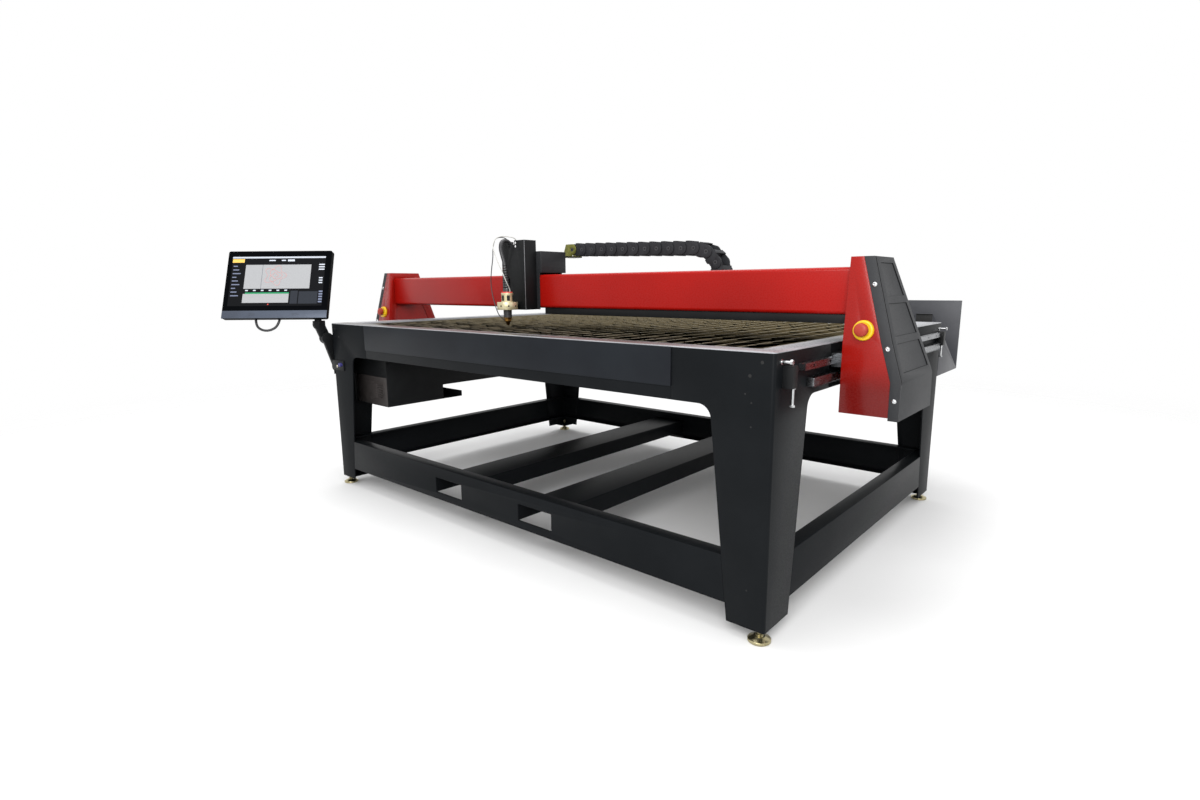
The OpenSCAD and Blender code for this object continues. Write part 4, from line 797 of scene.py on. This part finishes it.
def makeChain():
    p, upperTop = chain["pitch"], chain["top"] + chain["rise"]
    for node, count, high, fall, first, sign, wStart, wEnd in (
            ("chain_upper", chain["upper"], upperTop, chain["slope"], chain["startX"], 1, 1.0, 0.5),
            ("chain_lower", chain["lower"], chain["low"], 0.0, chain["bendX"], -1, 0.5, 0.0)):
        step = sign * p * math.cos(fall)
        parts = looseParts(node)
        parts.sort(key=lambda b: sign * sum(v.co.x for v in b.verts) / len(b.verts))
        for i, piece in enumerate(parts):
            xa, xb, z = first + i * step, first + (i + 1) * step, high - i * p * math.sin(fall)
            name = f"{node}_link{i:02d}"
            obj = bpy.data.objects.new(name, linkMesh(piece, name, [(xa, z)]))
            scene.collection.objects.link(obj)
            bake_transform(obj)
            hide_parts(node)
    pins, at = [], Vector((chain["bendX"], chain["top"]))
    for k in range(chain["bend"]):
        pins.append(at.copy())
        a = (k + 0.5) * math.pi / chain["bend"]
        at += p * Vector((math.cos(a), -math.sin(a)))
    whole = bmesh.new()
    for piece in looseParts("chain_bend"):
        joinInto(whole, piece)
    bend = bpy.data.objects.new("chainBend", linkMesh(whole, "chainBend", pins))
    keep(bend, "chain_bend", None, ["chain_bend"])


makeChain()
print("chain linked")


# racks: straight teeth cut in the lower edge of each bar
rack = {"tooth": 0.004, "pitch": 0.00628, "rootShare": 0.7, "tipShare": 0.3}


def makeRacks():
    low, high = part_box("gear_racks")
    inner, outer = table["halfWidth"], high[0]
    bars = bmesh.new()
    for s in (-1, 1):
        xs = sorted((s * inner, s * outer))
        boxInto(bars, (xs[0], low[1], low[2] + rack["tooth"]), (xs[1], high[1], high[2]), 0.0008)
    addPiece("rackBars", bars, "frame", groundSteel, ["gear_racks"])
    tooth = bmesh.new()
    half = (outer - inner) / 2
    root, tip = rack["pitch"] * rack["rootShare"] / 2, rack["pitch"] * rack["tipShare"] / 2
    outline = ((-root, 0.0005), (root, 0.0005), (tip, -rack["tooth"]), (-tip, -rack["tooth"]))
    corners = [(x, y, z) for x in (-half, half) for y, z in outline]
    verts = [tooth.verts.new(c) for c in corners]
    for ring in ((3, 2, 1, 0), (4, 5, 6, 7), (0, 1, 5, 4), (1, 2, 6, 5), (2, 3, 7, 6), (3, 0, 4, 7)):
        tooth.faces.new([verts[k] for k in ring])
    count = int((high[1] - low[1]) / rack["pitch"])
    seat, under = (inner + outer) / 2, low[2] + rack["tooth"]
    spots = [((s * seat, low[1] + (k + 0.5) * rack["pitch"], under), (0, 0, 1))
             for s in (-1, 1) for k in range(count)]
    scatter("rackTeeth", meshFrom(tooth, "tooth"), spots, groundSteel, "frame", ["gear_racks"])


# screws of the guide rails, sunk in their counterbores
guide = {"pitch": 0.120, "headR": 0.0042, "headH": 0.006, "socketR": 0.0021}


def makeGuideScrews():
    low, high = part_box("guide_rails")
    middle = (low[2] + high[2]) / 2
    seat = table["halfWidth"] + (high[2] - low[2]) / 2
    count = int((high[1] - low[1] - guide["pitch"] / 4) / guide["pitch"])
    spots = [((s * seat, low[1] + guide["pitch"] * (k + 0.5), middle), (s, 0, 0))
             for s in (-1, 1) for k in range(count)]
    head = buttonHead(guide["headR"], guide["headH"], guide["socketR"])
    scatter("guideScrews", head, spots, groundSteel, "frame")


makeRacks()
makeGuideScrews()
print("racks and guide screws set")

# end housings: lines of the folded front, shared by the covers' screws and panels and the stop buttons
house = {"low": 0.636, "high": 1.101, "kink": 0.740, "baseW": 0.143, "topW": 0.038, "coverT": 0.029,
         "lean": 0.028, "screwShares": (0.11, 0.43, 0.825), "screwR": 0.0078, "screwH": 0.0048,
         "socketR": 0.003, "stopX": 0.058, "stopUp": 0.042}
leanAngle = math.atan(house["lean"] / (house["high"] - table["top"]))


# seam between housing and cover at a height, measured from houseX
def seamX(z):
    climb = max(0.0, (z - house["kink"]) / (house["high"] - house["kink"]))
    return house["baseW"] + (house["topW"] - house["baseW"]) * climb


# how far the front leans back at a height
def frontY(z):
    return max(0.0, house["lean"] * (z - table["top"]) / (house["high"] - table["top"]))


def makeCoverScrews():
    spots = []
    for share in house["screwShares"]:
        z = house["low"] + share * (house["high"] - house["low"])
        a = leanAngle if z > table["top"] else 0.0
        x = table["houseX"] + seamX(z) + house["coverT"] / 2
        spots += [((s * x, table["bridge"] + frontY(z), z), (0, -math.cos(a), math.sin(a))) for s in (-1, 1)]
    head = buttonHead(house["screwR"], house["screwH"], house["socketR"])
    scatter("coverScrews", head, spots, boltZinc, "gantry", ["cover_screws"])


# painted shade: the step walls of the moulded covers' panels get a darker finish, standing in for the shade
# in the recesses
coverStepShade = finish("mouldedCoverPaintedShade", "#0c0d0e", "#121314", 0.75, 0.06, 2.5, 0.3, 220, specular=0.1)
panelShade = {"deep": 0.0034, "flat": 0.93, "rim": 0.006, "frontZone": 0.060, "endMargin": 0.010,
             "shallow": 0.0002, "faceBack": 0.3}


# the step walls of the covers' panels take the darker finish: painted shade
def shadePanelSteps():
    slope = math.atan((house["baseW"] - house["topW"]) / (house["high"] - house["kink"]))
    for side, node in ((1, "end_cover_right"), (-1, "end_cover_left")):
        mesh = bpy.data.objects[node + "_skin"].data
        mesh.materials.append(coverStepShade)
        outward = Vector((side * math.cos(slope), 0.0, math.sin(slope)))
        for face in mesh.polygons:
            x, y, z = face.center
            sunk = (table["houseX"] + seamX(z) + house["coverT"] - abs(x)) * math.cos(slope)
            inward = y - table["bridge"] - frontY(z)
            onSlope = house["kink"] + panelShade["endMargin"] < z < house["high"] - panelShade["endMargin"]
            turnedBack = face.normal.y >= panelShade["faceBack"]
            fromRim = inward > panelShade["rim"] and (not turnedBack or inward < panelShade["frontZone"])
            below = panelShade["shallow"] < sunk < panelShade["deep"]
            if onSlope and fromRim and below and face.normal.dot(outward) < panelShade["flat"]:
                face.material_index = 1


# stop buttons: dished yellow collar and red mushroom head with a soft dome
stopButton = {
    "collar": [(0.0062, 0.0), (0.030, 0.0), (0.030, 0.0015), (0.0292, 0.0075), (0.0283, 0.0092),
               (0.0270, 0.0100), (0.0225, 0.0098), (0.0215, 0.0088), (0.0140, 0.0086), (0.0062, 0.0086),
               (0.0062, 0.0)],
    "head": [(0.0, -0.014), (0.006, -0.014), (0.006, 0.0145), (0.0105, 0.0150), (0.0185, 0.0160),
             (0.0198, 0.0172), (0.0200, 0.0190), (0.0200, 0.0262), (0.0194, 0.0285), (0.0180, 0.0306),
             (0.0155, 0.0323), (0.0110, 0.0335), (0.0060, 0.0340), (0.0, 0.0341)],
}


def makeStops():
    collars = bmesh.new()
    for s, body in ((1, "estop_right"), (-1, "estop_left")):
        z = table["top"] + house["stopUp"]
        place = (Matrix.Translation((s * (table["houseX"] + house["stopX"]), table["bridge"] + frontY(z), z))
                 @ Matrix.Rotation(math.pi / 2 - leanAngle, 4, "X"))
        addPiece(body + "_head", lathe(stopButton["head"], 48), body, stopRed, [body], 50, place)
        ring = lathe(stopButton["collar"], 56)
        bmesh.ops.remove_doubles(ring, verts=ring.verts, dist=1e-6)
        bmesh.ops.transform(ring, matrix=place, verts=ring.verts)
        joinInto(collars, ring)
    addPiece("stopCollars", collars, "gantry", stopYellow, ["estop_rings"], 40)


makeCoverScrews()
shadePanelSteps()
makeStops()
print("end housings fitted out")

# levelling feet: turned pad, neck and threaded stud
foot = {
    "studR": 0.008, "rootShare": 0.86, "threadLow": 0.0240, "top": 0.069, "thread": 0.002,
    "pad": [(0.0, 0.0), (0.031, 0.0), (0.034, 0.0025), (0.034, 0.0088), (0.0332, 0.0100), (0.0318, 0.0106),
            (0.0180, 0.0172), (0.0172, 0.0180), (0.0120, 0.0180), (0.0105, 0.0195), (0.0105, 0.0225),
            (0.0095, 0.0235)],
}


def makeFeet():
    profile = list(foot["pad"])
    crest, root, z = foot["studR"], foot["studR"] * foot["rootShare"], foot["threadLow"]
    while z < foot["top"] - foot["thread"]:
        profile += [(crest, z), (crest, z + foot["thread"] * 0.35),
                    (root, z + foot["thread"] * 0.5), (root, z + foot["thread"] * 0.85)]
        z += foot["thread"]
    profile += [(root, foot["top"]), (0.0, foot["top"])]
    for body in ("foot_front_left", "foot_front_right", "foot_rear_left", "foot_rear_right"):
        low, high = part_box(body)
        place = Matrix.Translation(((low[0] + high[0]) / 2, (low[1] + high[1]) / 2, 0))
        addPiece(body + "_turned", lathe(profile, 44), body, feetPlate, [body], 38, place)


makeFeet()
print("feet turned")

# drilled holes of the front legs, drawn as thin dark discs: place from the middle and the floor, radius
legHoles = {
    "thick": 0.0004,
    "places": [(1.183, 0.817, 0.005), (1.148, 0.778, 0.005), (1.1355, 0.7276, 0.0026), (1.155, 0.704, 0.0026),
               (1.156, 0.637, 0.0026), (1.160, 0.157, 0.0026)],
}


def makeLegHoles():
    bm = bmesh.new()
    bmesh.ops.create_cone(bm, cap_ends=True, segments=20, radius1=1.0, radius2=1.0,
                          depth=legHoles["thick"])
    disc = meshFrom(bm, "holeDisc")
    for radius in sorted({r for x, z, r in legHoles["places"]}):
        spots = [((s * x, table["front"], z), (0, -1, 0))
                 for x, z, r in legHoles["places"] if r == radius for s in (-1, 1)]
        shape = disc.copy()
        for v in shape.vertices:
            v.co.xy *= radius
        scatter(f"legHoles{radius * 2000:.0f}", shape, spots, holeDark, "frame")


makeLegHoles()
print("leg holes drilled")

# torch: slotted collar with a red ring, black barrel, brass nozzle and the flange's screws
torch = {
    "axis": (-0.155, -0.575), "slots": 6, "slotWide": 0.5, "slotR": 0.025, "slotZ": (0.962, 0.985),
    "flangeR": 0.0445, "screws": 8, "screwZ": 0.940, "screwIn": 0.0012, "screwHead": (0.0042, 0.0022, 0.0021),
    "collar": [(0.0, 0.956), (0.026, 0.956), (0.026, 0.958), (0.0248, 0.9592), (0.0248, 0.987),
               (0.026, 0.9885), (0.026, 0.994), (0.025, 0.995), (0.0, 0.995)],
    "ring": [(0.0, 0.9948), (0.0234, 0.9948), (0.0234, 0.9988), (0.02288, 1.0), (0.0, 1.0)],
    "barrel": [(0.0, 0.8902), (0.0172, 0.8902), (0.0180, 0.8912), (0.0180, 0.9005), (0.0171, 0.9012),
               (0.0171, 0.9040), (0.0180, 0.9047), (0.0180, 0.956), (0.0, 0.956)],
    "nozzle": [(0.0, 0.858), (0.0058, 0.858), (0.0062, 0.8592), (0.0084, 0.8676), (0.0152, 0.8752),
               (0.0160, 0.8762), (0.0160, 0.8788), (0.0150, 0.8794), (0.0150, 0.8806), (0.0160, 0.8812),
               (0.0160, 0.8836), (0.0178, 0.8852), (0.0180, 0.8860), (0.0180, 0.8898), (0.0, 0.8898)],
}


# thin patch bent round the torch's axis, for the slots
def curvedPatch(bm, radius, low, high, start, end, deep=0.0003, steps=10):
    rings = []
    for k in range(steps + 1):
        a = start + (end - start) * k / steps
        rings.append([bm.verts.new((r * math.cos(a), r * math.sin(a), z))
                      for r in (radius - deep, radius + deep) for z in (low, high)])
    for p, q in zip(rings, rings[1:]):
        for i, j in ((0, 1), (1, 3), (3, 2), (2, 0)):
            bm.faces.new((p[i], p[j], q[j], q[i]))
    bm.faces.new((rings[0][0], rings[0][2], rings[0][3], rings[0][1]))
    bm.faces.new((rings[-1][1], rings[-1][3], rings[-1][2], rings[-1][0]))


def makeTorch():
    here = Matrix.Translation((torch["axis"][0], torch["axis"][1], 0))
    slots, step = bmesh.new(), 2 * math.pi / torch["slots"]
    for k in range(torch["slots"]):
        middle, half = (k + 0.5) * step, step * torch["slotWide"] / 2
        curvedPatch(slots, torch["slotR"], *torch["slotZ"], middle - half, middle + half)
    for name, mat, bm, node in (("torchCollar", creamAnodised, lathe(torch["collar"], 56), "torch_body"),
                                ("torchRing", ringRed, lathe(torch["ring"], 48), "torch_body"),
                                ("torchBarrel", leadRubber, lathe(torch["barrel"], 44), "torch_body"),
                                ("torchNozzle", nozzleBrass, lathe(torch["nozzle"], 44), "torch_nozzle"),
                                ("torchSlots", holeDark, slots, "torch_body")):
        addPiece(name, bm, "torch", mat, [node], 38, here)
    spots, seat = [], Vector((*torch["axis"], torch["screwZ"]))
    for k in range(torch["screws"]):
        a = 2 * math.pi * (k + 0.25) / torch["screws"]
        out = Vector((math.cos(a), math.sin(a), 0))
        if abs(out.x) >= 0.35 or out.y <= 0:  # none where the holder's arm joins the flange
            spots.append((tuple(seat + out * (torch["flangeR"] - torch["screwIn"])), tuple(out)))
    scatter("flangeScrews", buttonHead(*torch["screwHead"]), spots, holeDark, "torch")


makeTorch()
print("torch fitted")

# screen: plain work page on the glass, each field's tone, glow and areas as shares of the face
display = {
    "activePanel": ("#0a0b0e", 0.04, [(0.045, 0.085, 0.943, 0.820)]),
    "titleBar": ("#aeb3bb", 0.10, [(0.045, 0.085, 0.943, 0.110)]),
    "yellowKey": ("#d8b25a", 0.10, [(0.047, 0.120, 0.161, 0.172)]),
    "paleFields": ("#98999b", 0.06, [(0.18, 0.208, 0.81, 0.566), (0.18, 0.642, 0.62, 0.774)]),
    "greenBar": ("#2d8a5c", 0.10, [(0.20, 0.622, 0.62, 0.640)]),
    "darkKeys": ("#2a2d33", 0.05, [(0.635, 0.60, 0.705, 0.79), (0.715, 0.61, 0.895, 0.79)]),
    "greyRows": ("#6d7488", 0.06, [(0.06, 0.22 + 0.055 * k, 0.10 + 0.018 * (k % 3), 0.235 + 0.055 * k)
                                   for k in range(9)]
                 + [(0.905, 0.60 + 0.038 * k, 0.94, 0.622 + 0.038 * k) for k in range(5)]),
    "paleRows": ("#b8bdc6", 0.08, [(0.885, 0.20 + 0.036 * k, 0.94, 0.217 + 0.036 * k) for k in range(3)]
                 + [(0.895, 0.40 + 0.036 * k, 0.93, 0.417 + 0.036 * k) for k in range(3)]
                 + [(0.20 + 0.075 * k, 0.582, 0.225 + 0.075 * k, 0.600) for k in range(6)]
                 + [(0.40, 0.135, 0.46, 0.152), (0.52, 0.135, 0.56, 0.152), (0.58, 0.130, 0.645, 0.158)]),
    "darkLines": ("#51565f", 0.05, [(0.343, 0.208, 0.3455, 0.566)]),
    "redDot": ("#c44a43", 0.08, [(0.425, 0.790, 0.437, 0.806)]),
}


# closed cut path drawn on the page, painted chin, speaker dots and the row of vents behind
cutPath = {"at": (0.47, 0.37), "rx": 0.048, "rz": 0.046, "halfLine": 0.0009, "steps": 72, "wave": 0.22,
           "loops": ((5, 1.0), (3, 0.62), (4, 0.3))}
trim = {"chinTop": 0.0405, "chinFront": 0.0012, "chinBack": 0.006, "chinIn": 0.0004, "chinRoll": 0.0011,
        "dotR": 0.0009, "dotT": 0.0005, "dotPitch": (0.0028, 0.0026), "dotGrid": (11, 5),
        "dotsAt": (0.285, 0.70), "dotRow": 0.944, "vents": 21, "ventReach": 0.085, "ventAt": (0.0364, 0.064),
        "ventHalf": (0.0016, 0.0004, 0.022)}


def screenPoint(s, t, y):
    return Vector(((s - 0.5) * screen["w"], y, (0.5 - t) * screen["h"]))


def displayFinish(name, tone, second, glow):
    return finish(name, tone, second, 0.3, 0.04, 6.0, 0.01, 60, specular=0.1, glow=glow)


def makePage():
    for level, (key, (tone, glow, areas)) in enumerate(display.items()):
        bm, name = bmesh.new(), "display_" + key
        front = -0.0003 - 0.00008 * level
        for s0, t0, s1, t1 in areas:
            boxInto(bm, screenPoint(s0, t1, front), screenPoint(s1, t0, -0.0001))
        addPiece(name, bm, "monitor", displayFinish(name, tone, tone, glow), place=screenFrame)
    curve = bmesh.new()
    middle, steps = screenPoint(*cutPath["at"], -0.0012), cutPath["steps"]
    for lobe, scale in cutPath["loops"]:
        inner, outer = [], []
        for k in range(steps):
            a = 2 * math.pi * k / steps
            r = scale * (1 + cutPath["wave"] * math.cos(lobe * a))
            along = Vector((math.cos(a) * cutPath["rx"] * r, 0, math.sin(a) * cutPath["rz"] * r))
            wide = along.normalized() * cutPath["halfLine"]
            inner.append(curve.verts.new(middle + along - wide))
            outer.append(curve.verts.new(middle + along + wide))
        for k in range(steps):
            m = (k + 1) % steps
            curve.faces.new((inner[k], inner[m], outer[m], outer[k]))
    paint = displayFinish("display_cutPath", "#c98f8c", "#c28886", 0.08)
    addPiece("display_cutPath", curve, "monitor", paint, place=screenFrame)


def makeTrim():
    chin, half, low = bmesh.new(), screen["w"] / 2 - trim["chinIn"], -screen["h"] / 2
    boxInto(chin, (-half, -trim["chinFront"], low + trim["chinIn"]),
            (half, trim["chinBack"], low + trim["chinTop"]), trim["chinRoll"])
    addPiece("screenChin", chin, "monitor", chinPaint, place=screenFrame)
    dot, dots = bmesh.new(), []
    bmesh.ops.create_cone(dot, cap_ends=True, segments=8, radius1=trim["dotR"], radius2=trim["dotR"],
                          depth=trim["dotT"])
    out = tuple(screenFrame.to_3x3() @ Vector((0, -1, 0)))
    (wide, tall), (columns, rows) = trim["dotPitch"], trim["dotGrid"]
    for s in trim["dotsAt"]:
        for i in range(columns):
            for k in range(rows):
                aside = Vector(((i - columns // 2) * wide + (k % 2) * wide / 2, 0, (k - rows // 2) * tall))
                dots.append((tuple(screenFrame @ (screenPoint(s, trim["dotRow"], -0.0013) + aside)), out))
    scatter("speakerDots", meshFrom(dot, "speakerDot"), dots, chinMesh, "monitor")
    row, ventHalf = bmesh.new(), Vector(trim["ventHalf"])
    low, high = Vector((-trim["ventReach"], *trim["ventAt"])), Vector((trim["ventReach"], *trim["ventAt"]))
    for k in range(trim["vents"]):
        middle = low.lerp(high, k / (trim["vents"] - 1))
        boxInto(row, middle - ventHalf, middle + ventHalf)
    bmesh.ops.transform(row, matrix=screenFrame, verts=row.verts)
    mesh = bpy.data.meshes.new("ventSlots")
    row.to_mesh(mesh)
    row.free()
    keep(bpy.data.objects.new("ventSlots", mesh), "monitor", holeDark)


makePage()
makeTrim()
print("screen dressed")

# arm bracket's tab: blue clamp knob and a zinc bolt
tab = {"knobSeat": (-1.129, -0.851, 0.638), "boltSeat": (-1.175, -0.851, 0.628),
       "boltHead": (0.0075, 0.0045, 0.003),
       "knobProfile": [(0.0, 0.0), (0.0094, 0.0), (0.0094, 0.003), (0.0100, 0.004), (0.0102, 0.0055),
                       (0.0102, 0.0125), (0.0094, 0.0142), (0.0, 0.0146)]}


def makeKnob():
    place = Matrix.Translation(tab["knobSeat"]) @ Matrix.Rotation(math.pi / 2, 4, "X")
    addPiece("armKnob", lathe(tab["knobProfile"], 28), "frame", knobBlue, place=place)
    scatter("tabBolt", buttonHead(*tab["boltHead"]), [(tab["boltSeat"], (0, -1, 0))], zincPlate, "frame")


# lifter: pale strip on the fold edge at its front right corner, a painted highlight of the bend
highlightStrip = {"inward": 0.0016, "proud": 0.0004, "ends": 0.002, "roll": 0.0006}


def makeLifterEdge():
    low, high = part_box("lifter_housing")
    bm = bmesh.new()
    boxInto(bm, (high[0] - highlightStrip["inward"], low[1] - highlightStrip["proud"], low[2] + highlightStrip["ends"]),
            (high[0] + highlightStrip["proud"], low[1] + highlightStrip["inward"], high[2] - highlightStrip["ends"]), highlightStrip["roll"])
    addPiece("lifterEdge", bm, "carriage", foldHighlight)


# rear tray: rubber flap behind the window for the leads
trayWindow = {"low": (1.012, 1.2125, 0.822), "high": (1.090, 1.2145, 0.866), "roll": 0.0004}


def makeTrayFlap():
    bm = bmesh.new()
    boxInto(bm, trayWindow["low"], trayWindow["high"], trayWindow["roll"])
    addPiece("trayFlap", bm, "frame", rubberBumper)


# chain bracket: plate painted black below its zinc plated cheeks
bracket = {"paintedBelow": 1.1515}


def paintBracket():
    mesh = bpy.data.objects["chain_bracket_skin"].data
    mesh.materials.append(powderDull)
    for face in mesh.polygons:
        if face.center.z < bracket["paintedBelow"]:
            face.material_index = 1


makeKnob()
makeLifterEdge()
makeTrayFlap()
paintBracket()
print("small fittings set")


# stage: pale floor that fades out, and soft light: place, aim, size and power of each lamp
stage = {
    "size": 30, "fade": (2.2, 6.0), "sky": 1.0,
    "keyLight": ((2.4, -4.2, 3.0), (0.3, 0, 0.6), 3.0, 210),
    "sideLight": ((5.0, 0.5, 2.5), (0.8, 0, 0.7), 2.5, 8),
    "topLight": ((-0.6, 0.3, 5.0), (-0.2, 0, 0.8), 4.0, 150),
}


def makeStage():
    bm = bmesh.new()
    bmesh.ops.create_grid(bm, x_segments=1, y_segments=1, size=stage["size"])
    floor = bpy.data.objects.new("studioFloor", meshFrom(bm, "studioFloor"))
    scene.collection.objects.link(floor)
    paint = finish("studioFloorPaint", "#e6e6e6", "#e3e3e3", 0.8, 0.05, 20.0, 0.02, 900, specular=0.05)
    tree, shader, place = layersOf(paint)[:3]
    away = addNode(tree, "ShaderNodeVectorMath", operation="LENGTH", links={0: place})
    fade = addNode(tree, "ShaderNodeMapRange", interpolation_type="SMOOTHSTEP",
                   links={"Value": away.outputs["Value"]},
                   inputs={"From Min": stage["fade"][0], "From Max": stage["fade"][1],
                           "To Min": 1.0, "To Max": 0.0})
    tree.links.new(fade.outputs["Result"], shader.inputs["Alpha"])
    floor.data.materials.append(paint)
    world = bpy.data.worlds.new("studio")
    scene.world = world
    world.use_nodes = True
    sky = world.node_tree.nodes["Background"]
    sky.inputs["Color"].default_value = (1, 1, 1, 1)
    sky.inputs["Strength"].default_value = stage["sky"]
    for name in ("keyLight", "sideLight", "topLight"):
        place, aim, size, power = stage[name]
        data = bpy.data.lights.new(name, "AREA")
        data.size = size
        data.energy = power
        lamp = bpy.data.objects.new(name, data)
        scene.collection.objects.link(lamp)
        lamp.location = place
        lamp.rotation_euler = (Vector(aim) - Vector(place)).to_track_quat("-Z", "Y").to_euler()


makeStage()
print("stage lit")
scene.view_settings.view_transform = "Standard"
